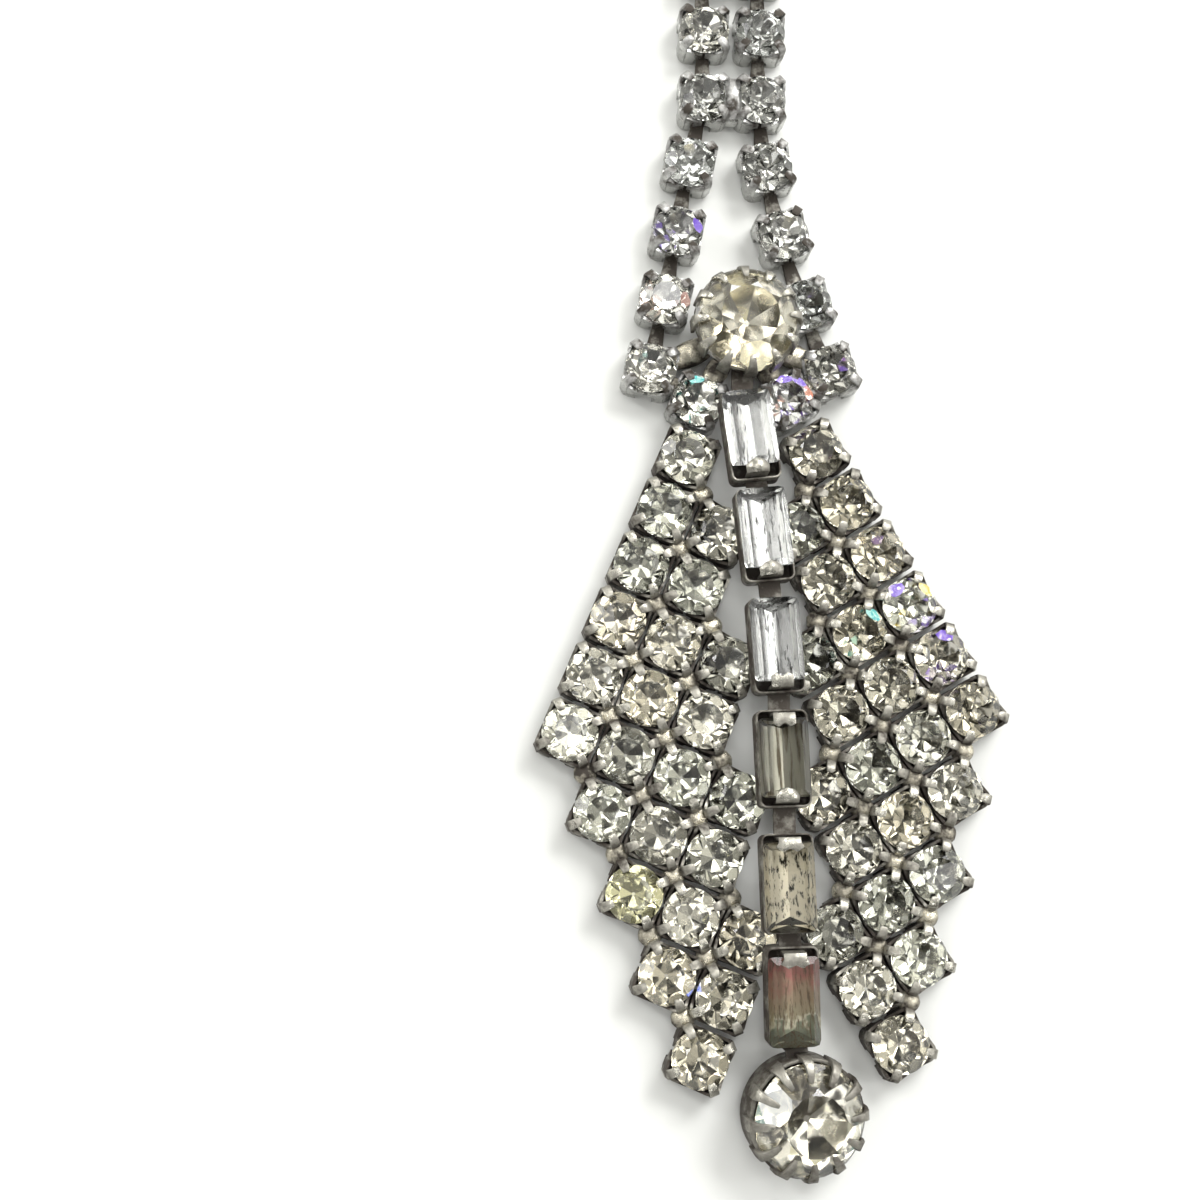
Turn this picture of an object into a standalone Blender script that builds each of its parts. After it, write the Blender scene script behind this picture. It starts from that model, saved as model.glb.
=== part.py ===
"""Chandelier earring, lying face up: a hook, three rows of paired stones, two strands, a yoke round a
large stone, two lattice wings, a chain of baguettes and a tipped round drop. Sizes are in millimetres."""

import math

import bmesh
import bpy
from mathutils import Matrix, Vector

MM = 0.001

# Square four-prong cups, the small ones of the pair rows, strands and yoke, and the wider ones of the wings
SMALL_SIDE = 3.9
SMALL_STONE = 3.4
WING_SIDE = 4.15
WING_STONE = 3.85
CUP_HEIGHT = 2.0
CUP_CORNER = 0.62
CUP_FLOOR = 0.3
STONE_CLEARANCE = 0.06
CROWN_HEIGHT = 0.9
TABLE_SHARE = 0.56
GIRDLE_HEIGHT = 0.12
CULET_SHARE = 0.12
CUP_PRONG = {"width": 0.55, "rise": 0.8, "reach": 0.72, "thick": 0.3}

# Wings: a cup every CUP_STEP down the outer edge, and a row every ROW_STEP inwards
WING_TOP_X = 4.85
CUP_STEP = 4.46
CUP_LEAN = math.radians(26.6)
ROW_STEP = 4.33
ROW_FALL = math.radians(25.2)
SOLDER_RADIUS = 0.95
SOLDER_BOTTOM = 0.45
SOLDER_SHOULDER = 1.8
SOLDER_TOP = 2.25

# Rows of a wing, from the outer edge inwards: the first and the last cup along the edge's direction
WING_ROWS = (
    {"row": 0, "first": 0, "last": 5},
    {"row": 1, "first": 1, "last": 6},
    {"row": 2, "first": 3, "last": 7},
    {"row": 3, "first": 5, "last": 8},
    {"row": 4, "first": 7, "last": 9},
)

# Where the chained cups lie, from the top down, measured from the wings' top corners on the centre line
PAIR_PITCH = 4.4
PAIR_ROUTE = ((1.6, 39.6), (1.2, 33.95), (0.78, 28.35))
STRAND_ROUTE = {
    "left": ((-2.95, 23.2), (-4.29, 17.7), (-5.65, 12.3)),
    "right": ((3.05, 22.7), (3.85, 17.15), (5.15, 11.5)),
}
YOKE_OUTER = {"left": (-7.1, 6.95), "right": (6.55, 6.25)}
YOKE_INNER = {"left": (-3.75, 4.3), "right": (3.1, 4.1)}

# Flat links between chained cups, and the solder between cups that don't move
LINK_WIDTH = 0.8
LINK_THICK = 0.35
LINK_LEVEL = 0.4
LINK_HEAD_WIDTH = 1.4
LINK_HEAD_LENGTH = 0.35
LINK_CLEARANCE = 0.2
PAIR_SOLDER_LENGTH = 2.2
YOKE_TAB_WIDTH = 1.4
YOKE_TAB_BOTTOM = 0.8

# Large round settings with claws
CENTRE_PLACE = (0.09, 9.76)
CENTRE_LIFT = 1.2
DROP_PLACE = (-0.5, -47.15)
DROP_TIP = math.radians(11)
DROP_TIP_TOWARDS = math.radians(-55)
ROUND_STONE = 7.6
ROUND_WALL = 0.25
CENTRE_FORM = {"rim": 8.3, "base": 5.2}
DROP_FORM = {"rim": 8.8, "base": 8.2}
ROUND_HEIGHT = 2.7
ROUND_FLOOR = 0.4
ROUND_CROWN = 1.55
ROUND_TABLE = 4.3
CLAWS = 12
CLAW = {"width": 0.8, "rise": 1.0, "reach": 0.75, "thick": 0.3}

# Baguettes in trays, chained by staples folded over the ends of the stones
TRAY_WIDTH = 3.7
TRAY_LENGTH = 6.9
TRAY_HEIGHT = 1.9
TRAY_CORNER = 0.45
TRAY_WALL = 0.25
TRAY_FLOOR = 0.3
TRAY_REST = 3.05
BAGUETTE_CROWN = 0.5
BAGUETTE_STEP = 0.55
BAGUETTE_KEEL = 0.35
STAPLE_WIDTH = 1.5
STAPLE_THICK = 0.26
STAPLE_LEVEL = 0.75
STAPLE_FOLD = 0.8
STAPLE_CLEARANCE = 0.1
ROUND_NOTCH_LEVEL = 1.6
ROUND_STAPLE_TIP = 1.0
ROUND_STAPLE_SEAT = 2.5
ROUND_STAPLE_REACH = 0.3

# Where the trays lie, and the heights of their upper and lower ends as shares of TRAY_REST
TRAY_ROUTE = (
    {"across": -0.45, "along": 0.75, "upper": 0.82, "lower": 1.0},
    {"across": -0.05, "along": -6.65, "upper": 1.0, "lower": 1.0},
    {"across": 0.12, "along": -14.75, "upper": 1.0, "lower": 1.0},
    {"across": -0.05, "along": -22.85, "upper": 1.0, "lower": 1.0},
    {"across": -0.4, "along": -31.55, "upper": 1.0, "lower": 1.0},
    {"across": -0.65, "along": -39.1, "upper": 1.0, "lower": 0.7},
)

# Ear hook and the eye that holds it
EYE_RADIUS = 1.15
EYE_WIRE = 0.35
EYE_REACH = 0.75
EYE_BRACKET_WIDTH = 2.4
HOOK_WIRE = 0.4
HOOK_LOOP_RADIUS = 1.5
HOOK_SHANK = 5.6
HOOK_ARC_RADIUS = 4.4
HOOK_LEG = 8.5
HOOK_LOOP_GAP = math.radians(40)
HOOK_CLEARANCE = 0.12

TOP = Vector((0, 0, 1))


def cut_rectangle(width, length, cut):
    """Corners of a rectangle whose corners are cut off, counter-clockwise from the right side."""
    x = width / 2
    y = length / 2
    half = ((x, cut - y), (x, y - cut), (x - cut, y), (cut - x, y))
    return half + tuple((-across, -along) for across, along in half)


def octagon(width):
    return cut_rectangle(width, width, width / 2 * (1 - math.tan(math.pi / 8)))


def polygon(width, sides):
    """A regular polygon with the given width over its flats and a side facing +X."""
    radius = width / 2 / math.cos(math.pi / sides)
    turns = (2 * math.pi * (i - 0.5) / sides for i in range(sides))
    return tuple((radius * math.cos(turn), radius * math.sin(turn)) for turn in turns)


def stacked(*outlines):
    """A closed shell through outlines of as many points, each at its height, capped at both ends."""
    shell = bmesh.new()
    rings = [[shell.verts.new((x, y, z)) for x, y in points] for points, z in outlines]
    for lower, upper in zip(rings, rings[1:]):
        for i in range(len(lower)):
            shell.faces.new((lower[i - 1], lower[i], upper[i], upper[i - 1]))
    shell.faces.new(reversed(rings[0]))
    shell.faces.new(rings[-1])
    return shell, rings


def raise_prong(shell, outer, inner, corner, prong):
    """A prong on one side of a rim, leaning inwards over the stone."""
    foot = (outer[corner - 1], outer[corner], inner[corner], inner[corner - 1])
    shell.faces.remove(shell.faces.get(foot))
    middle = (foot[0].co + foot[1].co) / 2
    outward = Vector((middle.x, middle.y, 0)).normalized()
    across = TOP.cross(outward)
    tip = []
    for depth, half in ((0, -0.5), (0, 0.5), (1, 0.5), (1, -0.5)):
        inwards = prong["reach"] + depth * prong["thick"]
        point = middle - outward * inwards + across * half * prong["width"] + TOP * prong["rise"]
        tip.append(shell.verts.new(point))
    shell.faces.new(tip)
    for i in range(4):
        shell.faces.new((foot[i - 1], foot[i], tip[i], tip[i - 1]))


def small_wall():
    return (SMALL_SIDE - SMALL_STONE) / 2 - STONE_CLEARANCE


def open_cup():
    """A small square cup with a pocket for its stone and a prong on each corner."""
    outer = cut_rectangle(SMALL_SIDE, SMALL_SIDE, CUP_CORNER)
    pocket = octagon(SMALL_STONE + 2 * STONE_CLEARANCE)
    shell, rings = stacked((outer, 0), (outer, CUP_HEIGHT), (pocket, CUP_HEIGHT), (pocket, CUP_FLOOR))
    for corner in (0, 2, 4, 6):
        raise_prong(shell, rings[1], rings[2], corner, CUP_PRONG)
    return shell


def stone_cup():
    """A square cup of the wings, one solid with its stone."""
    outer = cut_rectangle(WING_SIDE, WING_SIDE, CUP_CORNER)
    table = octagon(WING_STONE * TABLE_SHARE)
    shell, rings = stacked(
        (outer, 0),
        (outer, CUP_HEIGHT),
        (octagon(WING_STONE), CUP_HEIGHT),
        (table, CUP_HEIGHT + CROWN_HEIGHT),
    )
    for corner in (0, 2, 4, 6):
        raise_prong(shell, rings[1], rings[2], corner, CUP_PRONG)
    return shell


def small_stone():
    """A round stone as an octagon: culet, pavilion, girdle, eight crown facets and a table."""
    girdle = octagon(SMALL_STONE)
    return stacked(
        (octagon(SMALL_STONE * CULET_SHARE), CUP_FLOOR + STONE_CLEARANCE),
        (girdle, CUP_HEIGHT - GIRDLE_HEIGHT),
        (girdle, CUP_HEIGHT),
        (octagon(SMALL_STONE * TABLE_SHARE), CUP_HEIGHT + CROWN_HEIGHT),
    )[0]


def round_setting(form):
    """A turned cup, wider at the rim, with a ring of claws."""
    sides = 2 * CLAWS
    shell, rings = stacked(
        (polygon(form["base"], sides), 0),
        (polygon(form["rim"], sides), ROUND_HEIGHT),
        (polygon(form["rim"] - 2 * ROUND_WALL, sides), ROUND_HEIGHT),
        (polygon(form["base"] - 2 * ROUND_WALL, sides), ROUND_FLOOR),
    )
    for side in range(0, sides, 2):
        raise_prong(shell, rings[1], rings[2], side, CLAW)
    return shell


def brilliant():
    """A round brilliant: table, stars, kites, upper girdle facets, a girdle and a faceted pavilion."""
    girdle = ROUND_STONE / 2
    table = ROUND_TABLE / 2
    middle = (girdle + table) / 2
    eighth = math.pi / 4
    kite_height = ROUND_CROWN * (girdle - middle * math.cos(eighth / 2)) / (girdle - table)
    shell = bmesh.new()

    def ring(radius, height, count, first=0.0):
        turns = ((i + first) * 2 * math.pi / count for i in range(count))
        return [shell.verts.new((radius * math.cos(t), radius * math.sin(t), height)) for t in turns]

    tables = ring(table, ROUND_HEIGHT + ROUND_CROWN, 8)
    middles = ring(middle, ROUND_HEIGHT + kite_height, 8, 0.5)
    upper = ring(girdle, ROUND_HEIGHT, 16)
    lower = ring(girdle, ROUND_HEIGHT - GIRDLE_HEIGHT, 16)
    culet = shell.verts.new((0, 0, ROUND_FLOOR + STONE_CLEARANCE))
    shell.faces.new(tables)
    for i in range(8):
        shell.faces.new((tables[i - 1], middles[i - 1], tables[i]))
        shell.faces.new((tables[i], middles[i - 1], upper[2 * i], middles[i]))
        shell.faces.new((middles[i - 1], upper[2 * i - 1], upper[2 * i]))
        shell.faces.new((middles[i - 1], upper[2 * i - 2], upper[2 * i - 1]))
    for i in range(16):
        shell.faces.new((lower[i - 1], lower[i], upper[i], upper[i - 1]))
        shell.faces.new((culet, lower[i], lower[i - 1]))
    return shell


def tray():
    """The channel that holds a baguette."""
    outer = cut_rectangle(TRAY_WIDTH, TRAY_LENGTH, TRAY_CORNER)
    inner_cut = TRAY_CORNER - TRAY_WALL * (2 - math.sqrt(2))
    inner = cut_rectangle(TRAY_WIDTH - 2 * TRAY_WALL, TRAY_LENGTH - 2 * TRAY_WALL, inner_cut)
    return stacked((outer, 0), (outer, TRAY_HEIGHT), (inner, TRAY_HEIGHT), (inner, TRAY_FLOOR))[0]


def staple_seat():
    """How far inside a tray's end the middle of a staple stands."""
    return TRAY_WALL + STAPLE_CLEARANCE + STAPLE_THICK / 2


def baguette():
    """A step-cut stone with a keel, shorter than its tray by the staples at both ends."""
    width = TRAY_WIDTH - 2 * (TRAY_WALL + STONE_CLEARANCE)
    length = TRAY_LENGTH - 2 * (staple_seat() + STAPLE_THICK / 2 + STAPLE_CLEARANCE)
    keel = width * CULET_SHARE
    girdle = cut_rectangle(width, length, TRAY_CORNER)
    table = cut_rectangle(width - 2 * BAGUETTE_STEP, length - 2 * BAGUETTE_STEP, TRAY_CORNER)
    return stacked(
        (cut_rectangle(keel, length - width + keel, keel / 4), TRAY_FLOOR + BAGUETTE_KEEL),
        (girdle, TRAY_HEIGHT - GIRDLE_HEIGHT),
        (girdle, TRAY_HEIGHT),
        (table, TRAY_HEIGHT + BAGUETTE_CROWN),
    )[0]


def slab(width, start, end, bottom, top):
    """A box centred across, from start to end along Y."""
    half = width / 2
    outline = ((-half, start), (half, start), (half, end), (-half, end))
    return stacked((outline, bottom), (outline, top))[0]


def headed_link(root, neck):
    """A flat link towards +Y with a head at its far end."""
    half = LINK_WIDTH / 2
    head = LINK_HEAD_WIDTH / 2
    reach = neck + LINK_HEAD_LENGTH
    right = ((half, root), (half, neck), (head, neck), (head, reach))
    outline = right + tuple((-across, along) for across, along in reversed(right))
    return stacked((outline, LINK_LEVEL), (outline, LINK_LEVEL + LINK_THICK))[0]


def solder_blob():
    return stacked(
        (polygon(2 * SOLDER_RADIUS, 6), SOLDER_BOTTOM),
        (polygon(2 * SOLDER_RADIUS, 6), SOLDER_SHOULDER),
        (polygon(SOLDER_RADIUS, 6), SOLDER_TOP),
    )[0]


def wire_ring(radius, wire, turns, sides):
    """A closed ring of wire round the X axis."""
    shell = bmesh.new()
    rings = []
    for i in range(turns):
        ring = Matrix.Rotation(2 * math.pi * i / turns, 3, "X")
        around = (2 * math.pi * j / sides for j in range(sides))
        section = (Vector((wire * math.sin(a), radius + wire * math.cos(a), 0)) for a in around)
        rings.append([shell.verts.new(ring @ point) for point in section])
    for i in range(turns):
        for j in range(sides):
            shell.faces.new((rings[i - 1][j - 1], rings[i - 1][j], rings[i][j], rings[i][j - 1]))
    bmesh.ops.recalc_face_normals(shell, faces=shell.faces)
    return shell


def strap(route, width, thick):
    """A strip of constant thickness bent along a route of points, each with its direction across."""
    shell = bmesh.new()
    runs = [(after[0] - before[0]).normalized() for before, after in zip(route, route[1:])]
    rings = []
    for i, (point, across) in enumerate(route):
        before = across.cross(runs[max(i - 1, 0)])
        after = across.cross(runs[min(i, len(runs) - 1)])
        miter = (before + after).normalized()
        side = miter * thick / 2 / miter.dot(after)
        half = across * width / 2
        corners = (point - half - side, point + half - side, point + half + side, point - half + side)
        rings.append([shell.verts.new(corner) for corner in corners])
    for first, second in zip(rings, rings[1:]):
        for i in range(4):
            shell.faces.new((first[i - 1], first[i], second[i], second[i - 1]))
    shell.faces.new(reversed(rings[0]))
    shell.faces.new(rings[-1])
    bmesh.ops.recalc_face_normals(shell, faces=shell.faces)
    return shell


def finish_material(name, colour, metallic, roughness, transmission):
    material = bpy.data.materials.new(name)
    material.use_nodes = True
    shader = material.node_tree.nodes["Principled BSDF"]
    shader.inputs["Base Color"].default_value = (*colour, 1)
    shader.inputs["Metallic"].default_value = metallic
    shader.inputs["Roughness"].default_value = roughness
    shader.inputs["Transmission Weight"].default_value = transmission
    return material


def add_object(name, shell, material, place):
    """An object from a shell in millimetres, at its place under the earring's own empty."""
    mesh = bpy.data.meshes.new(name)
    bmesh.ops.scale(shell, vec=(MM, MM, MM), verts=shell.verts)
    shell.to_mesh(mesh)
    shell.free()
    mesh.materials.append(material)
    piece = bpy.data.objects.new(name, mesh)
    bpy.context.scene.collection.objects.link(piece)
    piece.parent = bpy.data.objects["earring"]
    piece.matrix_local = place
    return piece


def combine(piece, operation, helpers):
    """Cuts the helpers from a piece, or joins them to it, and hides them."""
    for helper in helpers:
        helper.hide_render = True
        helper.display_type = "WIRE"
        modifier = piece.modifiers.new(operation.title(), "BOOLEAN")
        modifier.operation = operation
        modifier.solver = "EXACT"
        modifier.object = helper


def placed(spot, turn=0.0):
    return Matrix.Translation((*(length * MM for length in spot), 0)) @ Matrix.Rotation(turn, 4, "Z")


def heading(start, end):
    """Turn about Z that points a piece's own -Y from one place to the next."""
    return math.atan2(end[0] - start[0], start[1] - end[1])


def pair_spots(row):
    """Places of the left and the right cup of a pair, and their turn."""
    above = max(row - 1, 0)
    turn = heading(PAIR_ROUTE[above], PAIR_ROUTE[above + 1])
    middle = Vector(PAIR_ROUTE[row])
    across = Vector((math.cos(turn), math.sin(turn))) * PAIR_PITCH / 2
    return {"left": middle - across, "right": middle + across}, turn


def chain_link(name, upper, lower, material):
    """A link from the upper cup into the next one, and the slot that it needs there.
    A cup is given by its place and its turn."""
    turn = heading(upper[0], lower[0])
    leaves = SMALL_SIDE / 2 / math.cos(upper[1] - turn)
    enters = math.dist(upper[0], lower[0]) - SMALL_SIDE / 2 / math.cos(lower[1] - turn)
    root = leaves - small_wall() / 2
    neck = enters + small_wall() + LINK_CLEARANCE
    link_shell = headed_link(root, neck)
    slot_shell = slab(
        LINK_WIDTH + 2 * LINK_CLEARANCE,
        enters - LINK_CLEARANCE,
        neck,
        LINK_LEVEL - LINK_CLEARANCE / 4,
        LINK_LEVEL + LINK_THICK + LINK_CLEARANCE,
    )
    place = placed(upper[0], turn + math.pi)
    link = add_object(name + "_link", link_shell, material, place)
    return link, add_object(name + "_slot", slot_shell, material, place)


def build_chains(metal, crystal):
    """The pair rows and the strands, chained down to the yoke, whose slots are returned."""
    yoke_slots = []
    for side in ("left", "right"):
        names = [f"pair_{row}_cup_{side}" for row in ("top", "mid", "low")]
        spots = [(pair_spots(row)[0][side], pair_spots(row)[1]) for row in range(3)]
        strand = STRAND_ROUTE[side] + (YOKE_OUTER[side],)
        for i, (here, after) in enumerate(zip(strand, strand[1:])):
            names.append(f"{side}_strand_cup_{i + 1}")
            spots.append((here, heading(here, after)))
        spots.append((YOKE_OUTER[side], heading(*strand[-2:])))
        slot = None
        for name, here, after in zip(names, spots, spots[1:]):
            cup = add_object(name, open_cup(), metal, placed(*here))
            add_object(name.replace("cup", "stone"), small_stone(), crystal, placed(*here))
            if slot:
                combine(cup, "DIFFERENCE", [slot])
            link, slot = chain_link(name, here, after, metal)
            combine(cup, "UNION", [link])
        yoke_slots.append(slot)
    solder_pair("top", 0, metal, add_eye(metal))
    solder_pair("low", 2, metal, [])
    return yoke_slots


def solder_pair(name, row, metal, extras):
    """One solid of a pair's two cups and the solder between them."""
    spots, turn = pair_spots(row)
    width = PAIR_PITCH - SMALL_SIDE + small_wall()
    half = PAIR_SOLDER_LENGTH / 2
    solder = slab(width, -half, half, SOLDER_BOTTOM, SOLDER_SHOULDER)
    middle = placed((spots["left"] + spots["right"]) / 2, turn)
    left = bpy.data.objects[f"pair_{name}_cup_left"]
    right = bpy.data.objects[f"pair_{name}_cup_right"]
    combine(left, "UNION", [right, add_object(f"pair_{name}_solder", solder, metal, middle), *extras])
    left.name = f"pair_{name}_setting"


def eye_reach():
    """How far the eye's middle stands above the middle of the top pair."""
    return SMALL_SIDE / 2 + EYE_REACH + EYE_RADIUS


def add_eye(metal):
    """An upright wire ring above the top pair, and the bracket that carries it."""
    place = placed(PAIR_ROUTE[0], pair_spots(0)[1])
    start = SMALL_SIDE / 2 - small_wall() / 2
    end = eye_reach() - EYE_RADIUS + EYE_WIRE
    bracket = slab(EYE_BRACKET_WIDTH, start, end, SOLDER_BOTTOM, SOLDER_SHOULDER)
    lifted = Matrix.Translation((0, eye_reach() * MM, (EYE_RADIUS + EYE_WIRE) * MM))
    eye = add_object("eye", wire_ring(EYE_RADIUS, EYE_WIRE, 14, 6), metal, place @ lifted)
    return [add_object("eye_bracket", bracket, metal, place), eye]


def hook_line():
    """The hook's middle line in its own plane, from the loop's end to the leg's tip, and its reach."""
    loop_middle = eye_reach() + HOOK_LOOP_RADIUS
    shank_top = loop_middle + HOOK_LOOP_RADIUS + HOOK_SHANK
    line = []
    for i in range(13):
        angle = math.pi / 2 + HOOK_LOOP_GAP + (2 * math.pi - HOOK_LOOP_GAP) * i / 12
        line.append((HOOK_LOOP_RADIUS * math.cos(angle), loop_middle + HOOK_LOOP_RADIUS * math.sin(angle)))
    line.append((0, shank_top - HOOK_SHANK / 2))
    for i in range(11):
        angle = math.pi * (1 - i / 10)
        line.append((HOOK_ARC_RADIUS * (1 + math.cos(angle)), shank_top + HOOK_ARC_RADIUS * math.sin(angle)))
    line.append((2 * HOOK_ARC_RADIUS, shank_top - HOOK_LEG / 2))
    line.append((2 * HOOK_ARC_RADIUS + HOOK_WIRE, shank_top - HOOK_LEG))
    return line, eye_reach(), shank_top + HOOK_ARC_RADIUS


def build_hook(metal):
    """A wire with a loop through the eye, a shank, a half turn and a free leg, lying on the surface."""
    line, near, far = hook_line()
    in_eye = 2 * EYE_WIRE + HOOK_CLEARANCE + HOOK_WIRE
    curve = bpy.data.curves.new("ear_hook", "CURVE")
    curve.dimensions = "3D"
    curve.bevel_depth = HOOK_WIRE * MM
    curve.bevel_resolution = 1
    curve.use_fill_caps = True
    curve.materials.append(metal)
    spline = curve.splines.new("POLY")
    spline.points.add(len(line) - 1)
    for point, (across, along) in zip(spline.points, line):
        height = in_eye + (HOOK_WIRE - in_eye) * (along - near) / (far - near)
        point.co = (across * MM, along * MM, height * MM, 1)
    hook = bpy.data.objects.new("ear_hook", curve)
    bpy.context.scene.collection.objects.link(hook)
    hook.parent = bpy.data.objects["earring"]
    hook.matrix_local = placed(PAIR_ROUTE[0], pair_spots(0)[1])


def wing_spot(sign, row, step):
    """Middle of a wing's cup; sign is 1 on the right and -1 on the left."""
    across = WING_TOP_X + step * CUP_STEP * math.sin(CUP_LEAN) - row * ROW_STEP * math.cos(ROW_FALL)
    along = -step * CUP_STEP * math.cos(CUP_LEAN) - row * ROW_STEP * math.sin(ROW_FALL)
    return sign * across, along


def build_wing(name, sign, metal):
    """A lattice of cups, joined by solder wherever three or four of them meet."""
    present = set()
    for entry in WING_ROWS:
        present.update((entry["row"], step) for step in range(entry["first"], entry["last"] + 1))
    pieces = []
    for row, step in sorted(present):
        place = placed(wing_spot(sign, row, step), sign * CUP_LEAN)
        pieces.append(add_object(f"{name}_cup_{row}_{step}", stone_cup(), metal, place))
        corner = {(row, step), (row, step + 1), (row + 1, step), (row + 1, step + 1)}
        if len(corner & present) >= 3:
            place = placed(wing_spot(sign, row + 0.5, step + 0.5), sign * CUP_LEAN)
            pieces.append(add_object(f"{name}_solder_{row}_{step}", solder_blob(), metal, place))
    wing = pieces.pop(0)
    wing.name = name
    joined = bpy.data.collections.new(name + "_pieces")
    bpy.context.scene.collection.children.link(joined)
    for piece in pieces:
        bpy.context.scene.collection.objects.unlink(piece)
        joined.objects.link(piece)
        piece.hide_render = True
        piece.display_type = "WIRE"
    modifier = wing.modifiers.new("Solder", "BOOLEAN")
    modifier.operation = "UNION"
    modifier.solver = "EXACT"
    modifier.operand_type = "COLLECTION"
    modifier.collection = joined


def yoke_tab(name, start, end, metal, end_margin):
    """A bar of solder from a small cup's wall towards its neighbour."""
    reach = math.dist(start, end) - end_margin
    shell = slab(YOKE_TAB_WIDTH, SMALL_SIDE / 2 - small_wall(), reach, YOKE_TAB_BOTTOM, SOLDER_SHOULDER)
    return add_object(name, shell, metal, placed(start, heading(start, end) + math.pi))


def centre_place():
    return placed(CENTRE_PLACE) @ Matrix.Translation((0, 0, CENTRE_LIFT * MM))


def build_yoke(metal, crystal, slots):
    """The large centre setting with four small cups soldered round it."""
    centre = centre_place()
    yoke = add_object("yoke_setting", round_setting(CENTRE_FORM), metal, centre)
    add_object("centre_stone", brilliant(), crystal, centre)
    pocket = octagon(SMALL_STONE)
    joined = []
    rooms = []
    for side, sign in (("left", -1), ("right", 1)):
        outer = YOKE_OUTER[side]
        inner = YOKE_INNER[side]
        places = {
            "outer": placed(outer, heading(STRAND_ROUTE[side][-1], outer)),
            "inner": placed(inner, sign * CUP_LEAN),
        }
        for which, place in places.items():
            joined.append(add_object(f"yoke_cup_{side}_{which}", open_cup(), metal, place))
            add_object(f"yoke_stone_{side}_{which}", small_stone(), crystal, place)
            room = stacked((pocket, CUP_FLOOR + STONE_CLEARANCE), (pocket, CUP_HEIGHT - GIRDLE_HEIGHT / 2))[0]
            rooms.append(add_object(f"yoke_room_{side}_{which}", room, metal, place))
        margin = SMALL_SIDE / 2 - small_wall()
        joined.append(yoke_tab(f"yoke_tab_{side}", outer, inner, metal, margin))
        joined.append(yoke_tab(f"yoke_bar_{side}_outer", outer, CENTRE_PLACE, metal, CENTRE_FORM["base"] / 2))
        joined.append(yoke_tab(f"yoke_bar_{side}_inner", inner, CENTRE_PLACE, metal, CENTRE_FORM["base"] / 2))
    sides = 2 * CLAWS
    room = stacked(
        (polygon(CENTRE_FORM["base"] - 2 * ROUND_WALL, sides), ROUND_FLOOR + STONE_CLEARANCE),
        (polygon(ROUND_STONE + STONE_CLEARANCE, sides), ROUND_HEIGHT - STONE_CLEARANCE),
    )[0]
    rooms.append(add_object("centre_room", room, metal, centre))
    combine(yoke, "UNION", joined)
    combine(yoke, "DIFFERENCE", rooms + slots)
    return yoke


def drop_place():
    """The drop tipped on the edge of its base."""
    axis = Vector((-math.sin(DROP_TIP_TOWARDS), math.cos(DROP_TIP_TOWARDS), 0))
    lift = DROP_FORM["base"] / 2 / math.cos(math.pi / 2 / CLAWS) * math.sin(DROP_TIP)
    return placed(DROP_PLACE) @ Matrix.Translation((0, 0, lift * MM)) @ Matrix.Rotation(DROP_TIP, 4, axis)


def build_drop(metal, crystal):
    add_object("drop_stone", brilliant(), crystal, drop_place())
    return add_object("drop_setting", round_setting(DROP_FORM), metal, drop_place())


def tray_place(number):
    """Where a tray lies: its middle, its heading and the slope between its ends."""
    entry = TRAY_ROUTE[number]
    before = TRAY_ROUTE[max(number - 1, 0)]
    after = TRAY_ROUTE[min(number + 1, len(TRAY_ROUTE) - 1)]
    turn = heading((before["across"], before["along"]), (after["across"], after["along"]))
    slope = math.asin((entry["upper"] - entry["lower"]) * TRAY_REST / TRAY_LENGTH)
    height = (entry["upper"] + entry["lower"]) / 2 * TRAY_REST
    lifted = Matrix.Translation((0, 0, height * MM))
    return placed((entry["across"], entry["along"]), turn) @ lifted @ Matrix.Rotation(slope, 4, "X")


def folded_end(place, end):
    """Route of a staple from its tip on a stone to just outside the tray; end is 1 for the upper end."""
    seat = TRAY_LENGTH / 2 - staple_seat()
    outside = TRAY_LENGTH / 2 + STAPLE_CLEARANCE
    top = TRAY_HEIGHT + BAGUETTE_CROWN + STONE_CLEARANCE + STAPLE_THICK / 2
    route = ((seat - STAPLE_FOLD, top), (seat, top), (seat, STAPLE_LEVEL), (outside, STAPLE_LEVEL))
    across = place.to_3x3().col[0].copy()
    return [(place @ Vector((0, end * along * MM, height * MM)) / MM, across) for along, height in route]


def round_end(form, place, target):
    """Route of a staple from its turned-down tip in a large round setting to just outside the wall."""
    outward = (target * MM - place.translation).xy.normalized()
    across = place.to_3x3() @ TOP.cross(outward.to_3d())
    across *= math.copysign(1, across.x)
    flare = (form["rim"] - form["base"]) * ROUND_NOTCH_LEVEL / ROUND_HEIGHT
    outside = (form["base"] + flare) / 2 + ROUND_STAPLE_REACH
    route = (
        (ROUND_STAPLE_SEAT, ROUND_STAPLE_TIP),
        (ROUND_STAPLE_SEAT, ROUND_NOTCH_LEVEL),
        (outside, ROUND_NOTCH_LEVEL),
    )
    return [(place @ Vector((*(outward * reach * MM), height * MM)) / MM, across) for reach, height in route]


def notch(name, run, metal):
    """A cutter round a straight run of a staple through a wall."""
    width = STAPLE_WIDTH + 2 * STAPLE_CLEARANCE
    thick = STAPLE_THICK + 2 * STAPLE_CLEARANCE
    return add_object(name + "_notch", strap(run, width, thick), metal, Matrix())


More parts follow.
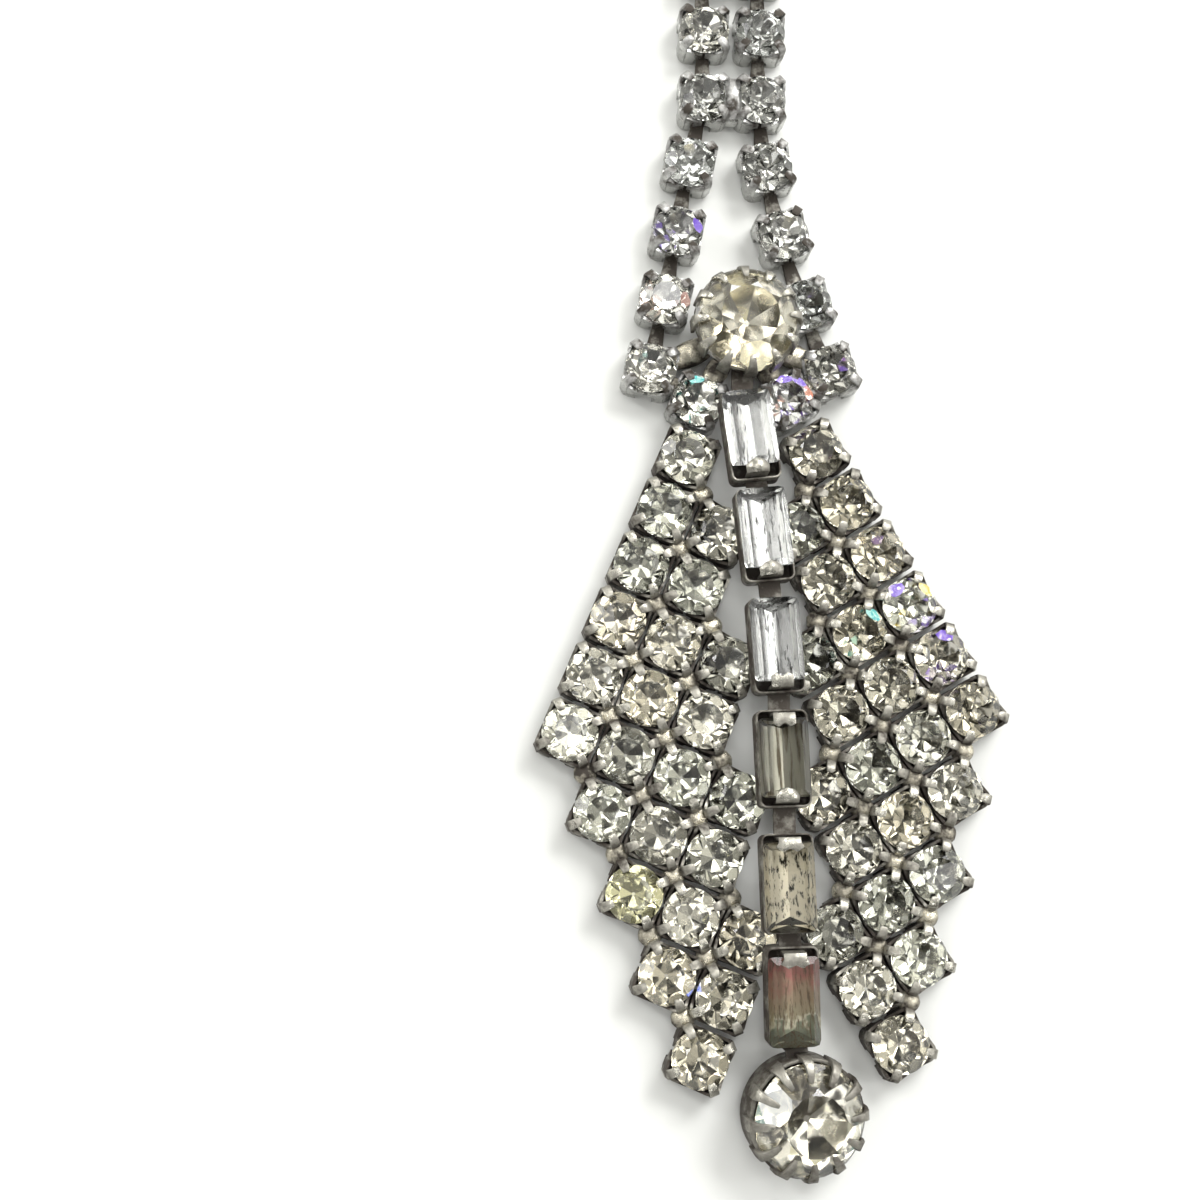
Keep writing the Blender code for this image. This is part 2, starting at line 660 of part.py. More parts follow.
def build_baguettes(metal, crystal, yoke, drop):
    """Six trays with their stones, and the staples that chain them to each other, the yoke and the drop."""
    places = [tray_place(number) for number in range(len(TRAY_ROUTE))]
    trays = []
    for number, place in enumerate(places, 1):
        trays.append(add_object(f"baguette_setting_{number}", tray(), metal, place))
        add_object(f"baguette_stone_{number}", baguette(), crystal, place)
    routes = [round_end(CENTRE_FORM, centre_place(), folded_end(places[0], 1)[-1][0])]
    for place in places:
        routes.append(folded_end(place, 1))
        routes.append(folded_end(place, -1))
    routes.append(round_end(DROP_FORM, drop_place(), folded_end(places[-1], -1)[-1][0]))
    holders = [yoke] + [holder for holder in trays for end in range(2)] + [drop]
    for number in range(len(TRAY_ROUTE) + 1):
        upper = routes[2 * number]
        lower = routes[2 * number + 1]
        name = f"baguette_link_{number + 1}"
        add_object(name, strap(upper + lower[::-1], STAPLE_WIDTH, STAPLE_THICK), metal, Matrix())
        combine(holders[2 * number], "DIFFERENCE", [notch(name + "_upper", upper[-2:], metal)])
        combine(holders[2 * number + 1], "DIFFERENCE", [notch(name + "_lower", lower[-2:], metal)])


def settle(earring):
    """Moves the whole so that the middle of its bounding box's bottom is the origin."""
    bpy.context.view_layer.update()
    graph = bpy.context.evaluated_depsgraph_get()
    low = Vector((math.inf,) * 3)
    high = -low
    for piece in earring.children:
        if piece.hide_render:
            continue
        evaluated = piece.evaluated_get(graph)
        for vertex in evaluated.to_mesh().vertices:
            point = evaluated.matrix_world @ vertex.co
            low = Vector(map(min, low, point))
            high = Vector(map(max, high, point))
        evaluated.to_mesh_clear()
    earring.location = (-(low.x + high.x) / 2, -(low.y + high.y) / 2, -low.z)


def main():
    for thing in list(bpy.data.objects):
        bpy.data.objects.remove(thing)
    earring = bpy.data.objects.new("earring", None)
    bpy.context.scene.collection.objects.link(earring)
    silver = finish_material("darkened_silver", (0.45, 0.44, 0.42), 1.0, 0.35, 0.0)
    wire = finish_material("bright_wire", (0.6, 0.6, 0.6), 1.0, 0.25, 0.0)
    crystal = finish_material("crystal", (0.9, 0.92, 0.93), 0.0, 0.05, 0.8)
    aged_crystal = finish_material("aged_crystal", (0.7, 0.66, 0.58), 0.0, 0.15, 0.5)
    build_hook(wire)
    yoke_slots = build_chains(silver, crystal)
    yoke = build_yoke(silver, crystal, yoke_slots)
    build_wing("left_wing", -1, silver)
    build_wing("right_wing", 1, silver)
    drop = build_drop(silver, crystal)
    build_baguettes(silver, aged_crystal, yoke, drop)
    settle(earring)


if __name__ == "__main__":
    main()
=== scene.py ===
"""Dresses the chandelier earring: silver cups and claws, cut stones, chained baguettes, hook and studio."""

import math
import random

import bmesh
import bpy
from mathutils import Matrix, Vector


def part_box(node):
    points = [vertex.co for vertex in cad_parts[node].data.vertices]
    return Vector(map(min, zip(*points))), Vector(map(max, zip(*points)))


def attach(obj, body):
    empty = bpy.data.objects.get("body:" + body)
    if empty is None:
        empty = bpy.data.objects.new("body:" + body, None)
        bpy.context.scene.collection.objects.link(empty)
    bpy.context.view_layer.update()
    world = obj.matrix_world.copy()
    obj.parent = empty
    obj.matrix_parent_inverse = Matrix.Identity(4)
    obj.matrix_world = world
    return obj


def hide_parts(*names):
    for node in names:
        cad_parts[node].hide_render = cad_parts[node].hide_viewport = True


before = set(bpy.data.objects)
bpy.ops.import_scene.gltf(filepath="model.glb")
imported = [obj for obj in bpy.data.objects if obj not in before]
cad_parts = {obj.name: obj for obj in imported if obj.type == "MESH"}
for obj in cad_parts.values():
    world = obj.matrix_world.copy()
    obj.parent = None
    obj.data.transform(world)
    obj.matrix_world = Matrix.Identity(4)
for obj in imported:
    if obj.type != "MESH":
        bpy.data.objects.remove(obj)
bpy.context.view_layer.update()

bl_info = {
    "name": "Chandelier Earring",
    "version": (1, 0, 0),
    "blender": (4, 5, 0),
    "location": "View3D > Sidebar > Earring",
    "description": "Models the cups, claws, cut stones, baguette chain, hook and studio of an earring",
    "category": "Object",
}

MM = 0.001
TOP = Vector((0, 0, 1))
SIDES = (("left", -1), ("right", 1))
ROWS = ("top", "mid", "low")

# Lengths are in millimetres. The shift brings the places below to the frame's origin
SHIFT = Vector((0, -2.286))

# Cups and their stones
SMALL = {"side": 3.9, "stone": 3.84}
WING = {"side": 4.15, "stone": 4.08}
CUP_HEIGHT = 2.0
CUP_FLOOR = 0.3
CUP_CORNER = 0.75
CROWN = 0.9
GIRDLE = 0.12
CULET_GAP = 0.08
TABLE_SHARE = 0.56
# Facets of a brilliant: the sides of its rod, how far in its keel starts, the extra slope of the halves above
# and below the girdle with their step from it, and the reach and slope of the stars
BRILLIANT = {
    "sides": 32, "keel": 0.94, "upper": 9, "lower": 5, "step": 0.02, "star": 0.99, "star_slope": 0.62,
}
PAIR_PITCH = 4.4

# A cup's walls: where they are cut and how they dip, as shares of its side and of the scallop
WALL_CUTS = (-0.24, -0.12, 0.12, 0.24)
WALL_DIPS = ({"reach": 0.13, "depth": 0.55}, {"reach": 0.25, "depth": 0.45})
ARCH = {"radius": 0.72, "depth": 0.8, "level": 0.35}
SLIT = {"width": 0.26, "depth": 0.8, "height": 1.4, "level": 1.3}
# Faces of the walls near the slits and arches, between these levels, get the dark silver of a painted shade
SHADED_SLIT = {"reach": 0.75, "low": 0.02, "high": 1.9}
SMALL_CLAW = {"thick": 0.2, "gap": 0.02}
LARGE_CLAW = {"width": 0.95, "thick": 0.3, "foot": 1.2, "taper": 0.82, "gap": 0.2}

# How a claw folds over: shares of its reach and rise, the turn in degrees and the narrowing of each step
CLAW_FOLD = (
    {"inward": 0.05, "up": 0.42, "turn": 15, "narrow": 1.0},
    {"inward": 0.2, "up": 0.36, "turn": 35, "narrow": 0.95},
    {"inward": 0.4, "up": 0.22, "turn": 25, "narrow": 1.0},
    {"inward": 0.35, "up": 0.0, "turn": 10, "narrow": 0.7},
)

# Links between cups, solder and the eye for the hook
LINK = {"start": 0.9, "short": 2.2, "width": 0.8, "thick": 0.35, "level": 0.575, "head": 0.35, "flare": 1.75}
PAIR_BAR = {"width": PAIR_PITCH - SMALL["side"] + 0.6, "length": 3.3, "bottom": 0.45, "top": 1.85}
YOKE_BAR = {"width": 1.1, "bottom": 0.8, "top": 1.6, "small_margin": 1.6, "large_margin": 2.4}
BLOB = {"level": 1.35, "squash": 0.85, "turn": 2.1}
EYE = {
    "radius": 1.15, "wire": 0.35, "along": 3.85, "level": 1.5, "foot": 2.9, "spread": 1.5, "below": 3.0,
}
BRACKET = {"along": 2.4, "level": 1.12, "size": (2.4, 1.4, 1.3), "taper": (0.55, 1, 0.8)}

# Lattice of a wing: cups down its outer edge, and rows inwards
WING_TOP_X = 4.85
CUP_STEP = 4.46
CUP_LEAN = math.radians(26.6)
ROW_STEP = 4.33
ROW_FALL = math.radians(25.2)
WING_ROWS = (
    {"row": 0, "first": 0, "last": 5},
    {"row": 1, "first": 1, "last": 6},
    {"row": 2, "first": 3, "last": 7},
    {"row": 3, "first": 5, "last": 8},
    {"row": 4, "first": 7, "last": 9},
)

# Large round settings, their stones and where they lie
ROUND = {"height": 2.7, "floor": 0.4, "crown": 1.55, "table": 4.3, "wall": 0.25, "claws": 12}
CENTRE = {
    "rim": 8.3, "lip": 7.9, "base": 5.2, "claw_rise": 0.9, "claw_reach": 1.0,
    "place": (0.09, 9.76), "lift": 1.2,
    "stone": 8.0, "stone_shift": (0.0, 0.0), "stone_turn": 0.1, "foil": "aged_foil",
}
DROP = {
    "rim": 8.8, "lip": 8.3, "base": 8.2, "claw_rise": 1.1, "claw_reach": 1.5,
    "place": (-0.5, -47.15), "tip": math.radians(11), "towards": math.radians(-55),
    "stone": 7.9, "stone_shift": (0.15, -0.2), "stone_turn": 0.3, "foil": "drop_foil",
}

# Baguette trays and their route down the wings
TRAY = {"width": 3.7, "length": 6.9, "height": 1.9, "rim": 1.6, "corner": 0.5, "wall": 0.14, "floor": 0.3}
TRAY_REST = 3.05
TRAY_ROUTE = (
    {"across": -0.45, "along": 0.75, "upper": 0.82, "lower": 1.0},
    {"across": -0.05, "along": -6.65, "upper": 1.0, "lower": 1.0},
    {"across": 0.12, "along": -14.75, "upper": 1.0, "lower": 1.0},
    {"across": -0.05, "along": -22.85, "upper": 1.0, "lower": 1.0},
    {"across": -0.4, "along": -31.55, "upper": 1.0, "lower": 1.0},
    {"across": -0.65, "along": -39.1, "upper": 1.0, "lower": 0.7},
)

# Baguettes: slopes of the facets under the girdle in degrees, and where each starts, as a share of the depth
BAGUETTE = {
    "crown": 0.5, "step": 0.55, "keel": 0.35, "gap": 0.1, "starts": (0.0, 0.12, 0.45), "inward": 0.55,
    "side_slopes": (58, 40, 24), "end_slopes": (80, 72, 62), "tucked_slopes": (45, 45, 50),
}
# What each baguette looks like: its foil, the gaps at its upper and lower ends, and the painted light and
# shade on the foil facets that face each side
BAGUETTE_LOOKS = (
    {"foil": "bright_foil", "gaps": (0.05, 0.95), "left": 0.9, "right": 0.95, "upper": 0.25, "lower": 0.9},
    {"foil": "bright_foil", "gaps": (0.05, 0.9), "left": 0.95, "right": 1.0, "upper": 0.3, "lower": 0.9},
    {"foil": "bright_foil", "gaps": (0.05, 0.75), "left": 1.0, "right": 0.6, "upper": 0.2, "lower": 0.9},
    {"foil": "grey_foil", "gaps": (0.55, 0.6), "left": 0.95, "right": 0.75, "upper": 0.4, "lower": 1.0},
    {"foil": "flaked_foil", "gaps": (0.55, 0.05), "left": 0.9, "right": 1.0, "upper": 0.6, "lower": 0.1},
    {"foil": "pink_foil", "gaps": (0.55, 0.05), "left": 0.8, "right": 0.9, "upper": 0.8, "lower": 0.9},
)

# Staples between the trays, and how they enter a large round setting
STAPLE = {"width": 1.6, "thick": 0.26, "level": 0.75, "clearance": 0.1, "over_stone": 0.06, "columns": 5}
# A staple's tongue, in steps back from where it stands in its tray and in levels; a tucked one ends low
TONGUE = {"fold": 0.95, "bend": 0.3, "lean": 0.02, "drop": 0.12, "foot": 0.1}
TUCKED_TONGUE = ((0.02, 1.2), (0.01, 1.1), (0.0, 1.0))
ROUND_NOTCH = {"level": 1.6, "tip": 1.0, "seat": 2.5, "reach": 0.3}
# Outlines of a staple's tip across its width, as steps back from its end, with its flare and droop
TIPS = {
    "dome": {"back": (0.5, 0.12, 0.0, 0.12, 0.5), "flare": 1.0, "droop": 0.35},
    "notched": {"back": (0.2, 0.0, 0.28, 0.0, 0.2), "flare": 1.0, "droop": 0.05},
    "heart": {"back": (0.3, 0.0, 0.22, 0.0, 0.3), "flare": 1.25, "droop": 0.05},
    "plate": {"back": (0.08, 0.0, 0.0, 0.0, 0.08), "flare": 1.1, "droop": 0.0},
    "tucked": {"back": (0.08, 0.0, 0.0, 0.0, 0.08), "flare": 1.0, "droop": 0.0},
}
STAPLE_TIPS = (
    {"upper": "plate", "lower": "tucked"},
    {"upper": "dome", "lower": "tucked"},
    {"upper": "dome", "lower": "tucked"},
    {"upper": "notched", "lower": "notched"},
    {"upper": "dome", "lower": "heart"},
    {"upper": "tucked", "lower": "heart"},
    {"upper": "tucked", "lower": "plate"},
)

# Tints of whole stones, shades of their facets, and how far a painted flash reaches for its facet
WING_TINTS = {
    "tints": ((1.0, 0.99, 0.96), (0.98, 0.98, 0.95), (1.0, 0.98, 0.93), (1.0, 0.97, 0.9), (0.95, 0.96, 0.93)),
    "shades": (0.5, 0.65, 0.8, 0.95, 1.0),
    "reach": 0.65,
}
CHAIN_TINTS = {
    "tints": ((0.97, 0.98, 1.0), (0.98, 0.98, 0.98), (0.95, 0.97, 1.0)),
    "shades": (0.5, 0.75, 0.9, 1.0, 1.0),
    "reach": 0.65,
}
LARGE_TINTS = {"tint": (1, 0.98, 0.93), "shades": (0.8, 0.9, 1.0), "reach": 1.0}
YELLOWED = {"place": (-11.2, -34.1), "tint": (1.0, 0.99, 0.82)}
STONE_TIP = 3.0
SEEDS = {"wings": 41, "chains": 7, "round": 5, "baguettes": 23}

# Painted flashes: where crown facets glow in a colour, as fire and white glints, across and along the earring
PAINTED_FIRE = {
    "violet": (0.35, 0.2, 1.0),
    "blue": (0.08, 0.2, 1.0),
    "cyan": (0.15, 0.8, 0.8),
    "yellow": (1.0, 0.75, 0.05),
    "cream": (0.85, 0.8, 0.55),
    "white": (0.9, 0.92, 0.9),
    "orange": (0.9, 0.35, 0.22),
    "rose": (0.55, 0.3, 0.25),
    "green": (0.06, 0.22, 0.1),
    "teal": (0.05, 0.2, 0.22),
}
PAINTED_FLASHES = {
    "violet": ((2.3, 3.2), (3.6, 2.8), (10.4, -12.9), (13.3, -16.8), (-2.6, 16.1)),
    "blue": ((11.4, -13.1), (-6.9, -40.8)),
    "cyan": ((-3.3, 3.5), (7.7, -14.8)),
    "yellow": ((12.1, -13.6),),
    "cream": ((1.5, 7.1), (-0.5, 4.6), (0.0, -52.4), (-1.4, -51.4)),
    "white": ((-0.2, 9.3), (1.1, 9.1), (-3.4, -47.5), (-2.7, -48.8)),
    "orange": ((4.2, 2.2),),
    "rose": ((-4.5, 10.0),),
    "green": ((-4.3, -48.3),),
    "teal": ((-4.2, -49.1),),
}
FLASH_SLOPES = (0.3, 0.95)

# Silver: the finish of its unshaded parts, its shares of that finish and of the dark colour, the levels
# between which it turns from dark to unshaded, its patches and its bumps. Low down, the dark is a painted
# shade for the gaps and recesses; the patches are tarnished silver
METALS = {
    "cup_silver": {
        "finish": "silver", "clean": 1.0, "dark": 1.0, "low": 1.9, "high": 3.2, "patches": 3.6, "bump": 0.4},
    # The chains' silver turns the other way, darker high up towards its claws
    "strand_silver": {
        "finish": "chain", "clean": 1.0, "dark": 1.0, "low": 3.3, "high": 1.0, "patches": 4.0, "bump": 0.5},
    # The dark silver that paints the shade in the pockets, slits, arches and inner walls
    "cup_inside": {
        "finish": "tarnish", "clean": 1.5, "dark": 0.3, "low": 0.5, "high": 3.0, "patches": 1.0, "bump": 0.5},
    "round_silver": {
        "finish": "silver", "clean": 0.8, "dark": 1.0, "low": 1.6, "high": 5.6, "patches": 2.5, "bump": 0.4},
    "drop_silver": {
        "finish": "silver", "clean": 0.8, "dark": 1.0, "low": 2.8, "high": 6.8, "patches": 2.5, "bump": 0.4},
    "tray_silver": {
        "finish": "silver", "clean": 0.7, "dark": 1.0, "low": 3.9, "high": 6.2, "patches": 3.0, "bump": 0.4},
    "solder_silver": {
        "finish": "solder", "clean": 1.0, "dark": 1.0, "low": 0.8, "high": 2.8, "patches": 4.5, "bump": 0.8},
    "wire_silver": {
        "finish": "silver", "clean": 1.0, "dark": 1.0, "low": -2.0, "high": -1.0, "patches": 0.5,
        "bump": 0.15},
}
BUMP_DEPTH = 0.08

# Foil behind the stones: its colour, its worn spots, how many and how fine they are, how long they run, and
# the roughness of both
FOILS = {
    "foil": {
        "colour": (0.93, 0.92, 0.87, 1), "spots": (0.5, 0.47, 0.4, 1),
        "amount": 0.26, "scale": 1200, "along": 1.0, "smooth": 0.08, "rough": 0.4},
    "aged_foil": {
        "colour": (0.97, 0.94, 0.84, 1), "spots": (0.6, 0.56, 0.46, 1),
        "amount": 0.3, "scale": 900, "along": 1.0, "smooth": 0.14, "rough": 0.4},
    "drop_foil": {
        "colour": (0.97, 0.95, 0.88, 1), "spots": (0.6, 0.57, 0.48, 1),
        "amount": 0.28, "scale": 900, "along": 1.0, "smooth": 0.1, "rough": 0.4},
    "bright_foil": {
        "colour": (0.97, 0.97, 0.96, 1), "spots": (0.03, 0.03, 0.028, 1),
        "amount": 0.32, "scale": 3600, "along": 0.16, "smooth": 0.16, "rough": 0.4},
    "grey_foil": {
        "colour": (0.36, 0.345, 0.28, 1), "spots": (0.12, 0.1, 0.07, 1),
        "amount": 0.37, "scale": 1800, "along": 0.07, "smooth": 0.34, "rough": 0.5},
    "flaked_foil": {
        "colour": (0.7, 0.64, 0.49, 1), "spots": (0.02, 0.016, 0.012, 1),
        "amount": 0.33, "scale": 3600, "along": 0.4, "smooth": 0.45, "rough": 0.6},
    "pink_foil": {
        "colour": (0.25, 0.27, 0.2, 1), "spots": (0.24, 0.18, 0.12, 1),
        "amount": 0.34, "scale": 4500, "along": 0.1, "smooth": 0.42, "rough": 0.6},
}
DUST = {"spots": (0.8, 0.77, 0.7, 1), "scale": 2500, "along": 1.0, "smooth": 0.0, "rough": 0.15}
# The stained foil: bands of colour between two places along the earring, with ragged edges
STAIN = {
    "foil": "pink_foil", "from": -42.1, "to": -37.7, "ragged": 3.5, "grain": 900,
    "bands": (
        (0.0, (0.25, 0.27, 0.2, 1)),
        (0.08, (0.3, 0.32, 0.23, 1)),
        (0.14, (0.8, 0.75, 0.57, 1)),
        (0.24, (0.46, 0.4, 0.27, 1)),
        (0.6, (0.44, 0.33, 0.23, 1)),
        (0.82, (0.47, 0.2, 0.17, 1)),
        (1.0, (0.45, 0.24, 0.2, 1)),
    ),
}

# Camera, soft boxes and the bright panes of the room; places and sizes are in metres
CAMERA = {
    "place": (-0.02424, -0.03370, 0.12335),
    "right": (0.99398, -0.06444, 0.08858),
    "up": (0.04818, 0.98342, 0.17480),
    "lens": 51.12,
}
SOFT_BOXES = (
    {"name": "key", "place": (0.3, 0.34, 0.44), "size": (0.3, 0.26), "share": 1.0},
    {"name": "window", "place": (-0.42, 0.3, 0.32), "size": (0.08, 0.3), "share": 0.25},
    {"name": "top_strip", "place": (0.02, 0.18, 0.6), "size": (0.16, 0.05), "share": 0.06},
    {"name": "side_strip", "place": (0.5, -0.06, 0.3), "size": (0.05, 0.26), "share": 0.2},
    {"name": "low_strip", "place": (-0.1, -0.42, 0.4), "size": (0.2, 0.05), "share": 0.12},
)
PANES = (
    (0.0, (0.08, 0.08, 0.07, 1)),
    (0.16, (0.5, 0.495, 0.475, 1)),
    (0.42, (1.1, 1.089, 1.045, 1)),
    (0.78, (4.4, 4.4, 4.4, 1)),
)
PANE_SCALE = 4.0
ROOM_SLOPE = {"From Min": -0.6, "From Max": 0.6, "To Min": 0.45, "To Max": 1.35}
FLOOR = {"size": 4.0, "mottle": 60, "dark": 0.97, "rough": 0.8}


# Settings


def length_setting(name, description, default, **limits):
    return bpy.props.FloatProperty(
        name=name, description=f"{description}, in millimetres", default=default, **limits
    )


def colour_setting(name, description, default):
    return bpy.props.FloatVectorProperty(
        name=name, description=description, subtype="COLOR", size=4, default=default
    )


class EarringCups(bpy.types.PropertyGroup):
    wall: length_setting("Wall", "Thickness of a cup's wall", 0.2, min=0.1, max=0.4)
    scallop: length_setting("Scallop", "How far a wall dips between its claws", 0.45, min=0, max=1)
    claw_width: length_setting("Claw width", "Width of a small claw", 0.7, min=0.3, max=1.2)
    claw_rise: length_setting("Claw rise", "Height of a small claw over its cup", 0.7, min=0.3, max=1)
    claw_reach: length_setting("Claw reach", "How far a small claw folds over the stone", 0.9, min=0.3)
    solder: length_setting("Solder", "Radius of the solder between the wings' cups", 0.85, min=0.4)


class EarringFinishes(bpy.types.PropertyGroup):
    silver: colour_setting("Silver", "Colour of rubbed silver", (0.46, 0.445, 0.385, 1))
    chain: colour_setting("Chain", "Colour of the chains' brighter silver", (0.56, 0.56, 0.54, 1))
    # The silver's dark colour: a painted shade in its gaps and recesses low down, and its tarnished patches
    tarnish: colour_setting("Tarnish", "Colour of silver in its recesses", (0.04, 0.032, 0.024, 1))
    solder: colour_setting("Solder", "Colour of the solder", (0.58, 0.54, 0.43, 1))
    crystal: colour_setting("Crystal", "Tint of the cut glass", (0.97, 0.975, 0.96, 1))
    grime: bpy.props.FloatProperty(
        name="Grime", description="Dirt on the stones", default=0.22, min=0, max=1, subtype="FACTOR"
    )


class EarringStudio(bpy.types.PropertyGroup):
    floor: colour_setting("Floor", "Colour of the floor", (0.635, 0.64, 0.615, 1))
    key: bpy.props.FloatProperty(
        name="Key light", description="Power of the large soft light in watts", default=3.6, min=0,
        unit="POWER",
    )
    sky: bpy.props.FloatProperty(
        name="Sky", description="Strength of the surrounding light", default=0.9, min=0
    )


# Modelling


def primitive(kind, name, **sizes):
    """A primitive in millimetres, with its turn and scale applied, open in edit mode."""
    bpy.ops.object.select_all(action="DESELECT")
    add = {
        "cube": bpy.ops.mesh.primitive_cube_add,
        "cylinder": bpy.ops.mesh.primitive_cylinder_add,
        "ball": bpy.ops.mesh.primitive_ico_sphere_add,
        "ring": bpy.ops.mesh.primitive_torus_add,
        "grid": bpy.ops.mesh.primitive_grid_add,
    }[kind]
    add(**sizes)
    piece = bpy.context.object
    piece.name = name
    bpy.ops.object.transform_apply(location=True, rotation=True, scale=True)
    bpy.ops.object.mode_set(mode="EDIT")
    return piece


def block(name, place, size):
    """A box round its middle, open in edit mode."""
    return primitive("cube", name, size=1, location=place, scale=size)


def select(piece, kind, test):
    """Selects the faces, edges or vertices that pass the test, and nothing else."""
    bpy.ops.mesh.select_mode(type=kind)
    bpy.ops.mesh.select_all(action="DESELECT")
    shape = bmesh.from_edit_mesh(piece.data)
    for part in {"FACE": shape.faces, "EDGE": shape.edges, "VERT": shape.verts}[kind]:
        if test(part):
            part.select_set(True)
    shape.select_flush_mode()
    bmesh.update_edit_mesh(piece.data)


def select_top(piece):
    select(piece, "FACE", lambda face: face.normal.z > 0.9)


def round_corners(piece, offset, segments):
    """Bevels the upright edges."""
    select(piece, "EDGE", lambda edge: abs(edge.verts[0].co.z - edge.verts[1].co.z) > 0.5)
    bpy.ops.mesh.bevel(offset=offset, segments=segments, affect="EDGES")


def extrude(step):
    bpy.ops.mesh.extrude_region_move(TRANSFORM_OT_translate={"value": step})


def resize(scale, centre):
    bpy.ops.transform.resize(value=scale, center_override=centre)


def cut(point, normal, keep_both=False):
    """Cuts the open piece along a plane, and takes off what lies in front of it."""
    bpy.ops.mesh.select_all(action="SELECT")
    bpy.ops.mesh.bisect(
        plane_co=point, plane_no=normal, use_fill=not keep_both, clear_outer=not keep_both, threshold=1e-5
    )


def apply_modifier(piece, kind, **settings):
    bpy.context.view_layer.objects.active = piece
    bpy.ops.object.modifier_add(type=kind)
    modifier = piece.modifiers[-1]
    for name, value in settings.items():
        setattr(modifier, name, value)
    bpy.ops.object.modifier_apply(modifier=modifier.name)


def take_out(piece, *cutters):
    for cutter in cutters:
        apply_modifier(piece, "BOOLEAN", operation="DIFFERENCE", solver="EXACT", object=cutter)


def bevel_edges(piece, width, angle):
    apply_modifier(
        piece, "BEVEL", width=width, segments=2, limit_method="ANGLE", angle_limit=math.radians(angle)
    )


def smooth(angle):
    bpy.ops.object.shade_smooth_by_angle(angle=math.radians(angle))


def close_edit(piece, bevel=0.0, levels=0, angle=40):
    """Leaves edit mode, then rounds and smooths the piece."""
    bpy.ops.object.mode_set(mode="OBJECT")
    if bevel:
        bevel_edges(piece, bevel, 35)
    if levels:
        apply_modifier(piece, "SUBSURF", levels=levels, render_levels=levels)
    smooth(angle)
    return piece


def close_ground(stone):
    """Merges what the cuts left double, and leaves edit mode with flat facets."""
    bpy.ops.mesh.select_all(action="SELECT")
    bpy.ops.mesh.remove_doubles(threshold=1e-4)
    bpy.ops.object.mode_set(mode="OBJECT")
    bpy.ops.object.shade_flat()
    return stone


def copied(master, place):
    """A copy of a master with its own mesh, put in its place."""
    piece = master.copy()
    piece.data = master.data.copy()
    piece.data.transform(place)
    bpy.context.scene.collection.objects.link(piece)
    return piece


def ring_of(master, count, reach, level, first=0.0):
    """Copies of a master at equal turns round the axis."""
    places = (
        Matrix.Rotation(first + 2 * math.pi * i / count, 4, "Z") @ Matrix.Translation((reach, 0, level))
        for i in range(count)
    )
    return [copied(master, place) for place in places]


def joined(parts):
    bpy.ops.object.select_all(action="DESELECT")
    for part in parts:
        part.select_set(True)
    bpy.context.view_layer.objects.active = parts[0]
    if len(parts) > 1:
        bpy.ops.object.join()
    return parts[0]


def discard(*masters):
    for master in masters:
        mesh = master.data
        bpy.data.objects.remove(master)
        bpy.data.meshes.remove(mesh)


def dress(parts, name, node):
    """Joins the parts, brings them to metres, and lets them stand for a node of the frame."""
    piece = joined(parts)
    piece.data.transform(Matrix.Scale(MM, 4))
    piece.name = piece.data.name = name
    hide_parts(node)
    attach(piece, "root")
    return piece


def paint(piece, *materials):
    """Fills a piece's material slots; its faces keep the slots that they have."""
    slots = piece.data.materials
    for number, material in enumerate(materials):
        if number < len(slots):
            slots[number] = material
        else:
            slots.append(material)
    return piece


# Places


def at(spot, turn=0.0, level=0.0):
    return Matrix.Translation((spot[0], spot[1], level)) @ Matrix.Rotation(turn, 4, "Z")


def heading(start, end):
    """Turn about Z that points a piece's own -Y from one place to the next."""
    return math.atan2(end[0] - start[0], start[1] - end[1])


def middle(node):
    """Middle of a node's outline."""
    low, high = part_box(node)
    return ((low + high) / 2 / MM).xy


def pair_places(row):
    """Places of the two cups of a pair, and of the solder between them."""
    middles = [
        sum((middle(f"pair_{name}_stone_{side}") for side, _ in SIDES), Vector((0, 0))) / 2 for name in ROWS
    ]
    above = max(row - 1, 0)
    turn = heading(middles[above], middles[above + 1])
    across = Vector((math.cos(turn), math.sin(turn))) * PAIR_PITCH / 2
    return {side: at(middles[row] + sign * across, turn) for side, sign in SIDES}, at(middles[row], turn)


def strand_stones(side):
    """The stones of a strand from its first cup to the yoke's outer cup."""
    return [f"{side}_strand_stone_{number}" for number in (1, 2, 3)] + [f"yoke_stone_{side}_outer"]


def strand_places(side):
    spots = [middle(name) for name in strand_stones(side)]
    turns = [heading(here, after) for here, after in zip(spots, spots[1:])]
    return [at(spot, turn) for spot, turn in zip(spots, turns + turns[-1:])]


def yoke_inner_place(side, sign):
    return at(middle(f"yoke_stone_{side}_inner"), sign * CUP_LEAN)


def wing_place(sign, row, step):
    across = WING_TOP_X + step * CUP_STEP * math.sin(CUP_LEAN) - row * ROW_STEP * math.cos(ROW_FALL)
    along = -step * CUP_STEP * math.cos(CUP_LEAN) - row * ROW_STEP * math.sin(ROW_FALL)
    return at(Vector((sign * across, along)) + SHIFT, sign * CUP_LEAN)


def wing_cells():
    return [(entry["row"], step) for entry in WING_ROWS for step in range(entry["first"], entry["last"] + 1)]


def wing_junctions():
    """Places in the lattice where three or four cups meet."""
    cells = set(wing_cells())
    meets = []
    for row, step in sorted(cells):
        corner = {(row, step), (row, step + 1), (row + 1, step), (row + 1, step + 1)} & cells
        if len(corner) >= 3:
            meets.append((row + 0.5, step + 0.5))
    return meets


def centre_place():
    return at(Vector(CENTRE["place"]) + SHIFT, level=CENTRE["lift"])


def drop_place():
    """The drop lies tipped, on the edge of its base."""
    towards = DROP["towards"]
    axis = Vector((-math.sin(towards), math.cos(towards), 0))
    lift = DROP["base"] / 2 / math.cos(math.pi / 2 / ROUND["claws"]) * math.sin(DROP["tip"])
    return at(Vector(DROP["place"]) + SHIFT, level=lift) @ Matrix.Rotation(DROP["tip"], 4, axis)


